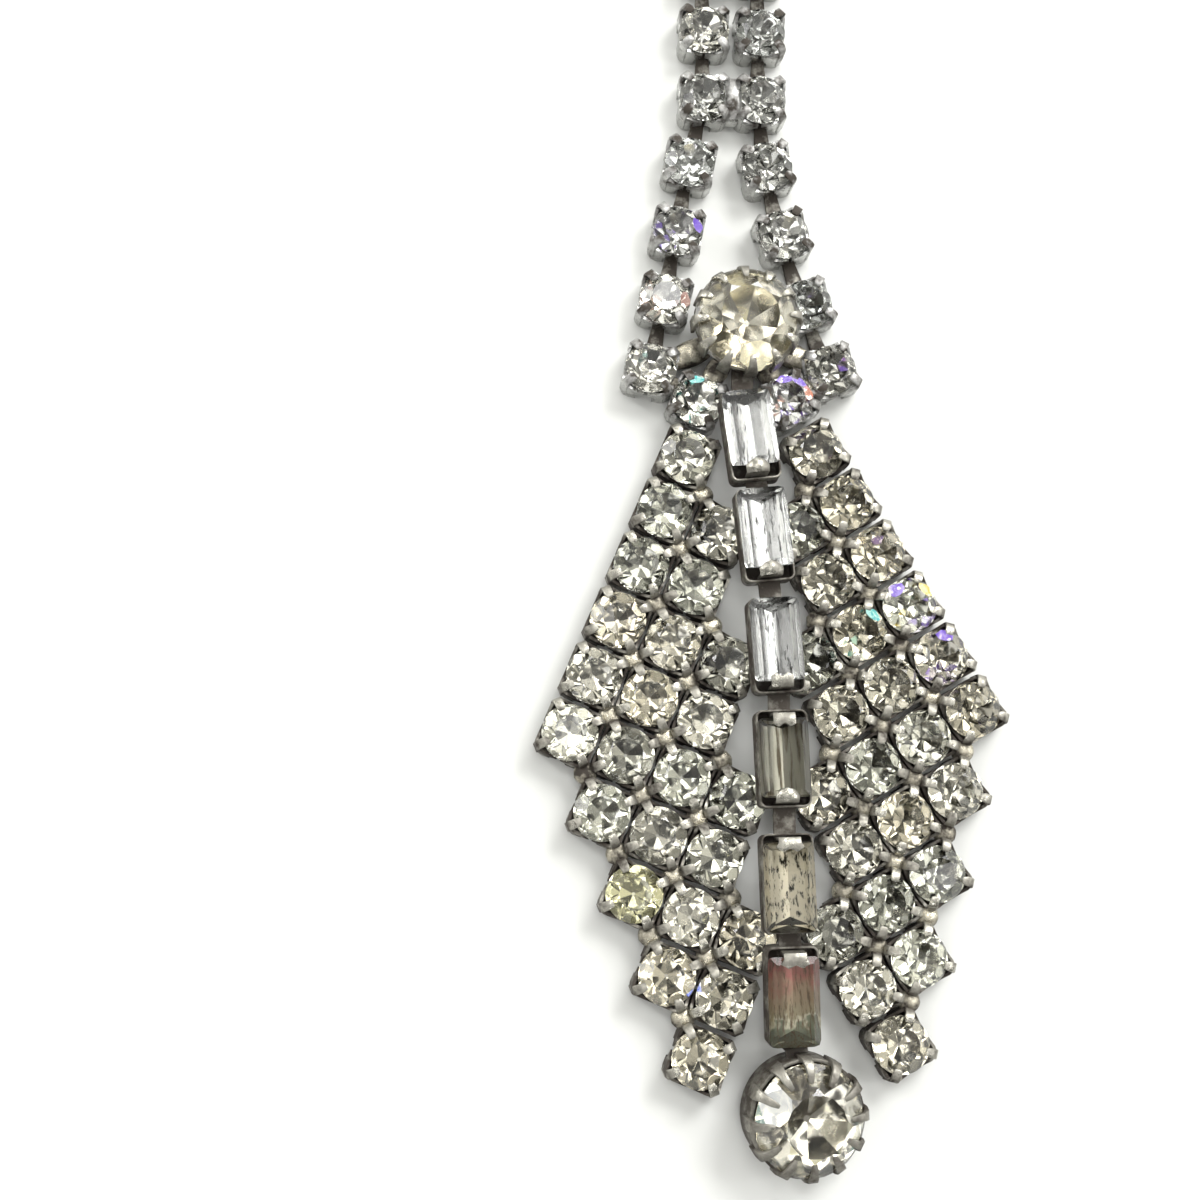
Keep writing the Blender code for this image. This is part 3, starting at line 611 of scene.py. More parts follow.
def tray_place(number):
    entry = TRAY_ROUTE[number]
    before = TRAY_ROUTE[max(number - 1, 0)]
    after = TRAY_ROUTE[min(number + 1, len(TRAY_ROUTE) - 1)]
    turn = heading((before["across"], before["along"]), (after["across"], after["along"]))
    slope = math.asin((entry["upper"] - entry["lower"]) * TRAY_REST / TRAY["length"])
    level = (entry["upper"] + entry["lower"]) / 2 * TRAY_REST
    place = at(Vector((entry["across"], entry["along"])) + SHIFT, turn, level)
    return place @ Matrix.Rotation(slope, 4, "X")


# Masters


def model_claw(width, thick, rise, reach, foot, taper=1.0):
    """A claw that stands outside the origin, facing +X, and folds over towards -X; taper points it."""
    claw = block("claw", (-thick / 2, 0, -foot / 2), (thick, width, foot))
    here = Vector((-thick / 2, 0, 0))
    select_top(claw)
    for fold in CLAW_FOLD:
        step = Vector((-fold["inward"] * reach, 0, fold["up"] * rise))
        here += step
        extrude(step)
        bpy.ops.transform.rotate(value=math.radians(fold["turn"]), orient_axis="Y", center_override=here)
        resize((1, taper * fold["narrow"], 1), here)
    return close_edit(claw, bevel=0.06, angle=60)


def model_cup(side, sizes):
    """A square cup: rounded corners, a pocket, walls that dip between four claws, and slits with arches."""
    cup = block("cup", (0, 0, CUP_HEIGHT / 2), (side, side, CUP_HEIGHT))
    round_corners(cup, CUP_CORNER, 3)
    select_top(cup)
    bpy.ops.mesh.inset(thickness=sizes.wall)
    extrude((0, 0, CUP_FLOOR - CUP_HEIGHT))
    for share in WALL_CUTS:
        cut((share * side, 0, 0), (1, 0, 0), keep_both=True)
        cut((0, share * side, 0), (0, 1, 0), keep_both=True)
    for dip in WALL_DIPS:
        reach = dip["reach"] * side
        select(cup, "VERT", lambda v: v.co.z > CUP_HEIGHT - 0.5 and min(abs(v.co.x), abs(v.co.y)) < reach)
        bpy.ops.transform.translate(value=(0, 0, -dip["depth"] * sizes.scallop))
    close_edit(cup)
    arch = primitive(
        "cylinder", "arch", vertices=16, radius=ARCH["radius"], depth=ARCH["depth"],
        location=(0, side / 2, ARCH["level"]), rotation=(math.pi / 2, 0, 0),
    )
    bpy.ops.object.mode_set(mode="OBJECT")
    slit = block("slit", (0, side / 2, SLIT["level"]), (SLIT["width"], SLIT["depth"], SLIT["height"]))
    bpy.ops.object.mode_set(mode="OBJECT")
    cutters = ring_of(arch, 4, 0, 0) + ring_of(slit, 4, 0, 0)
    take_out(cup, *cutters)
    paint_inside_shade(cup, side / 2 - 0.6 * sizes.wall)
    claw = model_claw(
        sizes.claw_width, SMALL_CLAW["thick"], sizes.claw_rise, sizes.claw_reach, CUP_HEIGHT - CUP_FLOOR
    )
    reach = (side / 2 - CUP_CORNER) * math.sqrt(2) + CUP_CORNER + SMALL_CLAW["gap"]
    claws = ring_of(claw, 4, reach, CUP_HEIGHT, math.pi / 4)
    discard(arch, slit, claw, *cutters)
    joined([cup, *claws])
    smooth(50)
    return cup


def paint_inside_shade(cup, pocket):
    """Gives the faces of the pocket, the slits and the arches the second material, a dark silver that paints
    their shade.
    """
    for face in cup.data.polygons:
        across, along, level = (abs(part) for part in face.center)
        outward = abs(face.normal.x if across > along else face.normal.y)
        in_wall = min(across, along) < SHADED_SLIT["reach"] and outward < 0.5
        in_slit = in_wall and SHADED_SLIT["low"] < level < SHADED_SLIT["high"]
        in_pocket = max(across, along) < pocket and level > 0.9 * CUP_FLOOR
        face.material_index = int(in_slit or in_pocket)


def model_round_setting(name, form, silver):
    """A large turned cup, flared to its rim, with a ring of claws."""
    height, floor, wall = ROUND["height"], ROUND["floor"], ROUND["wall"]
    cup = primitive(
        "cylinder", name, vertices=48, radius=form["base"] / 2, depth=height, location=(0, 0, height / 2)
    )
    select_top(cup)
    flare = form["lip"] / form["base"]
    resize((flare, flare, 1), (0, 0, height))
    bpy.ops.mesh.inset(thickness=wall)
    extrude((0, 0, floor - height))
    narrow = (form["base"] - 2 * wall) / (form["lip"] - 2 * wall)
    resize((narrow, narrow, 1), (0, 0, floor))
    close_edit(cup, bevel=0.06)
    # The inner walls above the floor get the second material, a dark silver that paints their shade
    for face in cup.data.polygons:
        inwards = face.normal.xy.dot(face.center.xy.normalized()) < -0.3
        face.material_index = int(inwards and face.center.z > floor)
    claw = model_claw(
        LARGE_CLAW["width"], LARGE_CLAW["thick"], form["claw_rise"], form["claw_reach"],
        LARGE_CLAW["foot"], LARGE_CLAW["taper"],
    )
    claws = ring_of(claw, ROUND["claws"], form["lip"] / 2 + LARGE_CLAW["gap"], height)
    discard(claw)
    return paint(joined([cup, *claws]), metal(silver), metal("cup_inside"))


def grind(count, first, radius, level, slope):
    """Cuts a ring of equal facets through a radius and a level; slope is from the horizontal, in degrees."""
    tilt = math.radians(slope)
    for i in range(count):
        turn = first + 2 * math.pi * i / count
        out = Vector((math.cos(turn), math.sin(turn), 0))
        facing = TOP if slope > 0 else -TOP
        cut(out * radius + TOP * level, out * math.sin(abs(tilt)) + facing * math.cos(tilt))


def model_brilliant(width, table, crown, height, culet):
    """A round brilliant ground from a rod: table, stars, mains and halves above and below its girdle."""
    girdle = width / 2
    top = height + crown
    half_side = math.pi / BRILLIANT["sides"]
    stone = primitive(
        "cylinder", "stone", vertices=BRILLIANT["sides"], radius=girdle / math.cos(half_side),
        depth=top - culet, location=(0, 0, (top + culet) / 2), rotation=(0, 0, half_side),
    )
    eighth = math.pi / 4
    step = BRILLIANT["step"]
    slope = math.degrees(math.atan2(crown, girdle - table / 2))
    depth = math.degrees(math.atan2(height - GIRDLE - culet, girdle * BRILLIANT["keel"]))
    grind(8, 0, girdle, height, slope)
    grind(16, eighth / 4, girdle, height - step, slope + BRILLIANT["upper"])
    grind(8, eighth / 2, table / 2 * BRILLIANT["star"], top, slope * BRILLIANT["star_slope"])
    grind(8, 0, girdle, height - GIRDLE, -depth)
    grind(16, eighth / 4, girdle, height - GIRDLE + step, -depth - BRILLIANT["lower"])
    return back_with_foil(close_ground(stone), height - GIRDLE)


def back_with_foil(stone, level):
    """Gives the faces under the girdle the second material."""
    for face in stone.data.polygons:
        face.material_index = int(face.center.z < level and face.normal.z < -0.05)
    return stone


def tint_facets(stone, chance, tint, look):
    """A tint for every facet under the girdle, as dull as its foil, and painted flashes that glow on the
    crown.
    """
    faces = stone.data.polygons
    tints = stone.data.attributes.new("facet_tint", "FLOAT_COLOR", "FACE").data
    flashes = stone.data.attributes.new("facet_flash", "FLOAT_COLOR", "FACE").data
    for face, entry, flash in zip(faces, tints, flashes):
        shade = chance.choice(look["shades"])
        entry.color = (*(shade * part for part in tint), 1) if face.material_index else (1, 1, 1, 1)
        flash.color = (0, 0, 0, 1)
    low, high = FLASH_SLOPES
    crown = [face for face in faces if not face.material_index and low < face.normal.z < high]
    for colour, spots in PAINTED_FLASHES.items():
        for spot in spots:
            near = [face for face in crown if (face.center.xy - Vector(spot)).length < look["reach"]]
            if near:
                flashes[max(near, key=lambda face: face.area).index].color = (*PAINTED_FIRE[colour], 1)
    return stone


def set_stone(master, place, chance, look):
    """A copy of a stone in its cup, turned at will and a little askew."""
    spin = Matrix.Rotation(chance.uniform(0, math.tau), 4, "Z")
    lean = Matrix.Rotation(math.radians(chance.uniform(-STONE_TIP, STONE_TIP)), 4, "X")
    level = Matrix.Translation((0, 0, CUP_HEIGHT))
    stone = copied(master, place @ level @ lean @ level.inverted() @ spin)
    yellowed = (place.translation.xy - Vector(YELLOWED["place"])).length < WING["side"] / 2
    tint = YELLOWED["tint"] if yellowed else chance.choice(look["tints"])
    return tint_facets(stone, chance, tint, look)


def model_small_stone(width):
    stone = model_brilliant(width, width * TABLE_SHARE, CROWN, CUP_HEIGHT, CUP_FLOOR + CULET_GAP)
    return paint(stone, cut_crystal(), foil("foil"))


def model_baguette(gaps):
    """A step-cut stone; gaps are how far it stops short of its tray's upper and lower ends."""
    width = TRAY["width"] - BAGUETTE["gap"]
    half_tray = TRAY["length"] / 2
    ends = {1: half_tray - gaps[0], -1: half_tray - gaps[1]}
    bottom = TRAY["floor"] + BAGUETTE["keel"]
    top = TRAY["height"] + BAGUETTE["crown"]
    girdle = TRAY["height"] - GIRDLE
    stone = block(
        "stone", (0, (ends[1] - ends[-1]) / 2, (bottom + top) / 2), (width, ends[1] + ends[-1], top - bottom)
    )
    round_corners(stone, TRAY["corner"], 2)
    for sign in (-1, 1):
        tucked = ends[sign] > half_tray - TRAY["wall"]
        sides = (
            (width / 2, Vector((sign, 0, 0)), BAGUETTE["side_slopes"]),
            (ends[sign], Vector((0, sign, 0)), BAGUETTE["tucked_slopes" if tucked else "end_slopes"]),
        )
        for half, out, slopes in sides:
            cut(out * half + TOP * TRAY["height"], out * BAGUETTE["crown"] + TOP * BAGUETTE["step"])
            for slope, share in zip(slopes, BAGUETTE["starts"]):
                tilt = math.radians(slope)
                depth = share * (girdle - bottom)
                reach = half - BAGUETTE["inward"] * share * width / 2
                cut(out * reach + TOP * (girdle - depth), out * math.sin(tilt) - TOP * math.cos(tilt))
    return back_with_foil(close_ground(stone), girdle)


def model_link(length):
    """A flat link lying along -Y from the origin, with a head at its far end."""
    level = LINK["level"]
    link = block("link", (0, -length / 2, level), (LINK["width"], length, LINK["thick"]))
    select(link, "FACE", lambda face: face.normal.y < -0.9)
    resize((LINK["flare"], 1, 1), (0, -length, level))
    extrude((0, -LINK["head"], 0))
    return close_edit(link, bevel=0.07)


def chain_link(here, after):
    """A link from a cup's floor through the next cup's arch."""
    start, end = here.translation, after.translation
    link = paint(model_link((end - start).length - LINK["short"]), metal("cup_silver"))
    link.data.transform(at(start, heading(start, end)) @ Matrix.Translation((0, -LINK["start"], 0)))
    return link


def model_solder_bar(width, length, bottom, top, silver):
    """A lumpy bar of solder between two cups."""
    bar = block("bar", (0, 0, (bottom + top) / 2), (width, length, top - bottom))
    bpy.ops.mesh.subdivide(number_cuts=3, smoothness=0.6)
    bpy.ops.transform.vertex_random(offset=0.06, seed=5)
    return paint(close_edit(bar, levels=1, angle=80), metal(silver))


def model_solder_blob(radius):
    """A blob of solder that fills the place where four cups meet."""
    blob = primitive(
        "ball", "solder", subdivisions=3, radius=radius, location=(0, 0, BLOB["level"]),
        scale=(1, 1, BLOB["squash"]),
    )
    bpy.ops.transform.vertex_random(offset=0.05, seed=3)
    return paint(close_edit(blob, angle=80), metal("solder_silver"))


def eye_parts(place):
    """The upright wire eye over the top pair, and its bracket."""
    ring = primitive(
        "ring", "eye", major_segments=32, minor_segments=10, major_radius=EYE["radius"],
        minor_radius=EYE["wire"], location=(0, EYE["along"], EYE["level"]), rotation=(0, math.pi / 2, 0),
    )
    select(ring, "VERT", lambda v: v.co.y < EYE["below"])
    resize((EYE["spread"], 1, 1), (0, EYE["foot"], EYE["level"]))
    close_edit(ring, angle=80)
    along, level, size = BRACKET["along"], BRACKET["level"], BRACKET["size"]
    bracket = block("bracket", (0, along, level), size)
    select(bracket, "FACE", lambda face: face.normal.y > 0.9)
    resize(BRACKET["taper"], (0, along + size[1] / 2, level))
    close_edit(bracket, bevel=0.15)
    for part in (ring, bracket):
        paint(part, metal("solder_silver"))
        part.data.transform(place)
    return [ring, bracket]


# Materials

COLOUR = "NodeSocketColor"
VALUE = "NodeSocketFloat"


def feed(tree, made, inputs):
    """Fills a node's inputs, each with a value or from another node's output."""
    for socket, value in inputs.items():
        if isinstance(value, bpy.types.NodeSocket):
            tree.links.new(value, made.inputs[socket])
        else:
            made.inputs[socket].default_value = value


def add_node(tree, kind, inputs=None, **settings):
    made = tree.nodes.new("ShaderNode" + kind)
    for name, value in settings.items():
        setattr(made, name, value)
    feed(tree, made, inputs or {})
    return made


def mix_colours(tree, factor, first, second, blend="MIX"):
    mixed = add_node(
        tree, "Mix", {"Factor": factor, 6: first, 7: second}, data_type="RGBA", blend_type=blend
    )
    return mixed.outputs[2]


def ramp(tree, factor, stops, interpolation="LINEAR"):
    """A colour ramp, from the first stop to the last."""
    made = add_node(tree, "ValToRGB", {"Fac": factor})
    made.color_ramp.interpolation = interpolation
    elements = made.color_ramp.elements
    for element, (position, colour) in zip(elements, (stops[0], stops[-1])):
        element.position = position
        element.color = colour
    for position, colour in stops[1:-1]:
        elements.new(position).color = colour
    return made.outputs["Color"]


def new_group(name, inputs, outputs):
    """A node group with named sockets, the outputs of its input node, and its output node."""
    group = bpy.data.node_groups.new(name, "ShaderNodeTree")
    for way, sockets in (("INPUT", inputs), ("OUTPUT", outputs)):
        for socket, kind in sockets.items():
            group.interface.new_socket(socket, in_out=way, socket_type=kind)
    return group, group.nodes.new("NodeGroupInput").outputs, group.nodes.new("NodeGroupOutput")


def new_material(name):
    material = bpy.data.materials.new(name)
    material.use_nodes = True
    return material, material.node_tree, material.node_tree.nodes["Principled BSDF"]


def shade_and_tarnish_group():
    """Silver that turns from dark to unshaded between two levels, a painted shade where the dark lies low,
    and is darker in tarnished patches.
    """
    if "Tarnish" in bpy.data.node_groups:
        return bpy.data.node_groups["Tarnish"]
    group, given, result = new_group(
        "Tarnish",
        {"Clean": COLOUR, "Dark": COLOUR, "Low": VALUE, "High": VALUE, "Patches": VALUE},
        {"Colour": COLOUR, "Roughness": VALUE, "Metallic": VALUE, "Height": VALUE},
    )
    place = add_node(group, "TexCoord").outputs["Object"]
    level = add_node(group, "SeparateXYZ", {0: place}).outputs["Z"]
    # Between the two levels the silver turns from dark to unshaded; low down this dark is a painted shade
    rise = add_node(group, "MapRange", {"Value": level, "From Min": given["Low"], "From Max": given["High"]})
    coarse, fine = (
        add_node(group, "TexNoise", {"Vector": place, "Scale": scale, "Detail": 6, "Roughness": 0.65})
        for scale in (700, 5000)
    )
    patch = add_node(group, "Math", {0: coarse.outputs["Fac"], 1: 0.5}, operation="SUBTRACT")
    clean = add_node(
        group, "Math", {0: patch.outputs[0], 1: given["Patches"], 2: rise.outputs["Result"]},
        operation="MULTIPLY_ADD", use_clamp=True,
    ).outputs[0]
    rough = add_node(group, "MapRange", {"Value": clean, "To Min": 0.7, "To Max": 0.17})
    bare = add_node(group, "MapRange", {"Value": clean, "To Min": 0.3})
    feed(group, result, {
        "Colour": mix_colours(group, clean, given["Dark"], given["Clean"]),
        "Roughness": rough.outputs["Result"],
        "Metallic": bare.outputs["Result"],
        "Height": fine.outputs["Fac"],
    })
    return group


def metal(name):
    """A worn metal, tarnished in patches, with painted shade on the low, dark side of its levels."""
    if name in bpy.data.materials:
        return bpy.data.materials[name]
    look = METALS[name]
    finishes = bpy.context.scene.earring_finishes
    material, tree, shader = new_material(name)
    shade_and_wear = add_node(tree, "Group", node_tree=shade_and_tarnish_group())
    feed(tree, shade_and_wear, {
        "Clean": [look["clean"] * part for part in getattr(finishes, look["finish"])],
        "Dark": [look["dark"] * part for part in finishes.tarnish],
        "Low": look["low"] * MM,
        "High": look["high"] * MM,
        "Patches": look["patches"],
    })
    relief = add_node(tree, "Bump", {
        "Strength": look["bump"], "Distance": BUMP_DEPTH * MM, "Height": shade_and_wear.outputs["Height"],
    })
    feed(tree, shader, {
        "Base Color": shade_and_wear.outputs["Colour"],
        "Metallic": shade_and_wear.outputs["Metallic"],
        "Roughness": shade_and_wear.outputs["Roughness"],
        "Normal": relief.outputs["Normal"],
    })
    return material


def grime_group():
    """Dust, worn spots or streaks: a colour and a roughness that vary over a stone."""
    if "Grime" in bpy.data.node_groups:
        return bpy.data.node_groups["Grime"]
    values = ("Amount", "Scale", "Along", "Smooth", "Rough")
    group, given, result = new_group(
        "Grime",
        {"Colour": COLOUR, "Spots": COLOUR, **{name: VALUE for name in values}},
        {"Colour": COLOUR, "Roughness": VALUE},
    )
    place = add_node(group, "TexCoord").outputs["Object"]
    grain = add_node(group, "CombineXYZ", {"X": 1.0, "Y": given["Along"], "Z": 1.0})
    stretch = add_node(group, "VectorMath", {0: place, 1: grain.outputs[0]}, operation="MULTIPLY")
    noise = add_node(group, "TexNoise", {
        "Vector": stretch.outputs[0], "Scale": given["Scale"], "Detail": 5, "Roughness": 0.65,
    })
    start = add_node(group, "Math", {0: 0.85, 1: given["Amount"]}, operation="SUBTRACT").outputs[0]
    end = add_node(group, "Math", {0: start, 1: 0.1}).outputs[0]
    mask = add_node(group, "MapRange", {
        "Value": noise.outputs["Fac"], "From Min": start, "From Max": end,
    }).outputs["Result"]
    rough = add_node(group, "Mix", {"Factor": mask, 2: given["Smooth"], 3: given["Rough"]})
    feed(group, result, {
        "Colour": mix_colours(group, mask, given["Colour"], given["Spots"]),
        "Roughness": rough.outputs[0],
    })
    return group


def grimed(tree, shader, look):
    """Gives a stone's faces their dust or worn spots, times each facet's tint and shade; the baguettes'
    shades are painted light and shade.
    """
    grime = add_node(tree, "Group", node_tree=grime_group())
    feed(tree, grime, {socket.name: look[socket.name.lower()] for socket in grime.inputs})
    facet = add_node(tree, "Attribute", attribute_name="facet_tint")
    colour = mix_colours(tree, 1.0, grime.outputs["Colour"], facet.outputs["Color"], "MULTIPLY")
    feed(tree, shader, {"Base Color": colour, "Roughness": grime.outputs["Roughness"]})
    return grime


def cut_crystal():
    """Cut glass with a little dust on it, and painted flashes: some facets glow in colours and white."""
    if "cut_crystal" in bpy.data.materials:
        return bpy.data.materials["cut_crystal"]
    finishes = bpy.context.scene.earring_finishes
    material, tree, shader = new_material("cut_crystal")
    grimed(tree, shader, {**DUST, "colour": finishes.crystal, "amount": finishes.grime})
    flash = add_node(tree, "Attribute", attribute_name="facet_flash")
    # The emission paints the flashes of fire and the white glints on chosen facets
    feed(tree, shader, {
        "Transmission Weight": 1.0, "IOR": 1.56, "Emission Strength": 0.7,
        "Emission Color": flash.outputs["Color"],
    })
    return material


def foil(name):
    """Mirror foil whose facets have tints and shades of their own, worn in spots or streaks; the baguettes'
    shades are painted light and shade.
    """
    if name in bpy.data.materials:
        return bpy.data.materials[name]
    material, tree, shader = new_material(name)
    grime = grimed(tree, shader, FOILS[name])
    shader.inputs["Metallic"].default_value = 1.0
    if name == STAIN["foil"]:
        feed(tree, grime, {"Colour": stain_colour(tree)})
    return material


def stain_colour(tree):
    """Bands of colour along the earring, with ragged edges."""
    place = add_node(tree, "TexCoord").outputs["Object"]
    along = add_node(tree, "SeparateXYZ", {0: place}).outputs["Y"]
    ragged = add_node(tree, "TexNoise", {"Vector": place, "Scale": STAIN["grain"]})
    wave = add_node(
        tree, "Math", {0: ragged.outputs["Fac"], 1: STAIN["ragged"] * MM, 2: along}, operation="MULTIPLY_ADD"
    )
    reach = add_node(tree, "MapRange", {
        "Value": wave.outputs[0], "From Min": STAIN["from"] * MM, "From Max": STAIN["to"] * MM,
    })
    return ramp(tree, reach.outputs["Result"], STAIN["bands"])


# Pieces


def small_cup(context, side=SMALL["side"], silver="strand_silver"):
    """A painted master of a square cup."""
    return paint(model_cup(side, context.scene.earring_cups), metal(silver), metal("cup_inside"))


class EARRING_OT_wings(bpy.types.Operator):
    """Models the two wings' cups, claws and solder"""

    bl_idname = "earring.wings"
    bl_label = "Wings"
    bl_options = {"REGISTER", "UNDO"}

    def execute(self, context):
        cup = small_cup(context, WING["side"], "cup_silver")
        blob = model_solder_blob(context.scene.earring_cups.solder)
        for side, sign in SIDES:
            parts = [copied(cup, wing_place(sign, *cell)) for cell in wing_cells()]
            for number, spot in enumerate(wing_junctions()):
                turn = Matrix.Rotation(number * BLOB["turn"], 4, "Z")
                parts.append(copied(blob, wing_place(sign, *spot) @ turn))
            dress(parts, f"{side}_wing_cups", f"{side}_wing")
        discard(cup, blob)
        return {"FINISHED"}


class EARRING_OT_wing_stones(bpy.types.Operator):
    """Cuts the stones of the two wings"""

    bl_idname = "earring.wing_stones"
    bl_label = "Wing stones"
    bl_options = {"REGISTER", "UNDO"}

    def execute(self, context):
        chance = random.Random(SEEDS["wings"])
        stone = model_small_stone(WING["stone"])
        for side, sign in SIDES:
            parts = [set_stone(stone, wing_place(sign, *cell), chance, WING_TINTS) for cell in wing_cells()]
            dress(parts, f"{side}_wing_stones", f"{side}_wing")
        discard(stone)
        return {"FINISHED"}


class EARRING_OT_pairs(bpy.types.Operator):
    """Models the three rows of paired cups, their links, solder and eye"""

    bl_idname = "earring.pairs"
    bl_label = "Pair rows"
    bl_options = {"REGISTER", "UNDO"}

    def execute(self, context):
        cup = small_cup(context)
        bar = model_solder_bar(**PAIR_BAR, silver="strand_silver")
        spots = [pair_places(row)[0] for row in range(len(ROWS))]
        spots.append({side: strand_places(side)[0] for side, _ in SIDES})
        for row, name in enumerate(ROWS):
            parts = {
                side: [copied(cup, spots[row][side]), chain_link(spots[row][side], spots[row + 1][side])]
                for side, _ in SIDES
            }
            if name == "mid":
                for side, _ in SIDES:
                    dress(parts[side], f"pair_mid_silver_{side}", f"pair_mid_cup_{side}")
                continue
            both = parts["left"] + parts["right"] + [copied(bar, pair_places(row)[1])]
            if name == "top":
                both += eye_parts(pair_places(0)[1])
            dress(both, f"pair_{name}_silver", f"pair_{name}_setting")
        discard(cup, bar)
        return {"FINISHED"}


class EARRING_OT_strands(bpy.types.Operator):
    """Models the cups of the two strands and their links"""

    bl_idname = "earring.strands"
    bl_label = "Strands"
    bl_options = {"REGISTER", "UNDO"}

    def execute(self, context):
        cup = small_cup(context)
        for side, _ in SIDES:
            spots = strand_places(side)
            for number, (here, after) in enumerate(zip(spots, spots[1:]), 1):
                parts = [copied(cup, here), chain_link(here, after)]
                dress(parts, f"{side}_strand_silver_{number}", f"{side}_strand_cup_{number}")
        discard(cup)
        return {"FINISHED"}


class EARRING_OT_yoke(bpy.types.Operator):
    """Models the centre setting and the four cups soldered round it"""

    bl_idname = "earring.yoke"
    bl_label = "Yoke"
    bl_options = {"REGISTER", "UNDO"}

    def execute(self, context):
        cup = small_cup(context)
        parts = [model_round_setting("centre", CENTRE, "round_silver")]
        parts[0].data.transform(centre_place())
        centre = centre_place().translation
        for side, sign in SIDES:
            places = strand_places(side)[-1], yoke_inner_place(side, sign)
            outer, inner = (place.translation for place in places)
            parts += [copied(cup, place) for place in places]
            for start, end, margin in ((outer, inner, "small_margin"), (outer, centre, "large_margin"),
                                       (inner, centre, "large_margin")):
                parts.append(yoke_bar(start, end, YOKE_BAR[margin]))
        dress(parts, "yoke_silver", "yoke_setting")
        discard(cup)
        return {"FINISHED"}


def yoke_bar(start, end, margin):
    """Solder from a cup to its neighbour, short of both middles."""
    near = YOKE_BAR["small_margin"]
    span = (end.xy - start.xy).length - near - margin
    bar = model_solder_bar(YOKE_BAR["width"], span, YOKE_BAR["bottom"], YOKE_BAR["top"], "solder_silver")
    bar.data.transform(at(start, heading(start, end)) @ Matrix.Translation((0, -near - span / 2, 0)))
    return bar


class EARRING_OT_chain_stones(bpy.types.Operator):
    """Cuts the stones of the pairs, the strands and the yoke's small cups"""

    bl_idname = "earring.chain_stones"
    bl_label = "Chain stones"
    bl_options = {"REGISTER", "UNDO"}

    def execute(self, context):
        chance = random.Random(SEEDS["chains"])
        stone = model_small_stone(SMALL["stone"])
        places = {}
        for side, sign in SIDES:
            for row, name in enumerate(ROWS):
                places[f"pair_{name}_stone_{side}"] = pair_places(row)[0][side]
            places.update(zip(strand_stones(side), strand_places(side)))
            places[f"yoke_stone_{side}_inner"] = yoke_inner_place(side, sign)
        for name, place in places.items():
            cut_stone = set_stone(stone, place, chance, CHAIN_TINTS)
            dress([cut_stone], name.replace("stone", "cut_stone"), name)
        discard(stone)
        return {"FINISHED"}


class EARRING_OT_round_stones(bpy.types.Operator):
    """Cuts the two large round stones, and models the drop's setting"""

    bl_idname = "earring.round_stones"
    bl_label = "Round stones and drop"
    bl_options = {"REGISTER", "UNDO"}

    def execute(self, context):
        chance = random.Random(SEEDS["round"])
        for name, form, place in (("centre", CENTRE, centre_place()), ("drop", DROP, drop_place())):
            stone = model_brilliant(
                form["stone"], ROUND["table"], ROUND["crown"], ROUND["height"], ROUND["floor"] + CULET_GAP
            )
            paint(stone, cut_crystal(), foil(form["foil"]))
            stone.data.transform(place @ at(form["stone_shift"], form["stone_turn"]))
            tint_facets(stone, chance, LARGE_TINTS["tint"], LARGE_TINTS)
            dress([stone], f"{name}_cut_stone", f"{name}_stone")
        setting = model_round_setting("drop", DROP, "drop_silver")
        setting.data.transform(drop_place())
        dress([setting], "drop_silver", "drop_setting")
        return {"FINISHED"}


class EARRING_OT_trays(bpy.types.Operator):
    """Models the six trays that hold the baguettes"""

    bl_idname = "earring.trays"
    bl_label = "Baguette trays"
    bl_options = {"REGISTER", "UNDO"}

    def execute(self, context):
        width, length, height = TRAY["width"], TRAY["length"], TRAY["rim"]
        tray = block("tray", (0, 0, height / 2), (width, length, height))
        round_corners(tray, TRAY["corner"], 4)
        select_top(tray)
        bpy.ops.mesh.inset(thickness=TRAY["wall"])
        extrude((0, 0, TRAY["floor"] - height))
        close_edit(tray, bevel=0.03)
        play = 2 * STAPLE["clearance"]
        opening = (STAPLE["width"] + play, length + 1, STAPLE["thick"] + play)
        slot = block("slot", (0, 0, STAPLE["level"]), opening)
        bpy.ops.object.mode_set(mode="OBJECT")
        take_out(tray, slot)
        paint(tray, metal("tray_silver"))
        for number in range(len(TRAY_ROUTE)):
            part = copied(tray, tray_place(number))
            dress([part], f"baguette_tray_{number + 1}", f"baguette_setting_{number + 1}")
        discard(tray, slot)
        return {"FINISHED"}


class EARRING_OT_baguettes(bpy.types.Operator):
    """Cuts the six baguettes, each with foil of its own age and painted light and shade on its facets"""

    bl_idname = "earring.baguettes"
    bl_label = "Baguettes"
    bl_options = {"REGISTER", "UNDO"}

    def execute(self, context):
        chance = random.Random(SEEDS["baguettes"])
        for number, look in enumerate(BAGUETTE_LOOKS):
            stone = paint(model_baguette(look["gaps"]), cut_crystal(), foil(look["foil"]))
            tints = stone.data.attributes.new("facet_tint", "FLOAT_COLOR", "FACE").data
            # Each foil facet is painted lighter or darker by the side it faces, a painted light and shade
            # varied a little at random
            for face, entry in zip(stone.data.polygons, tints):
                across, along, _ = face.normal
                sideways = ("left", "right")[across > 0]
                side = sideways if abs(across) > abs(along) else ("lower", "upper")[along > 0]
                shade = look[side] * chance.uniform(0.8, 1.1) if face.material_index else 1
                entry.color = (shade, shade, shade, 1)
            stone.data.transform(tray_place(number))
            dress([stone], f"baguette_cut_{number + 1}", f"baguette_stone_{number + 1}")
        return {"FINISHED"}


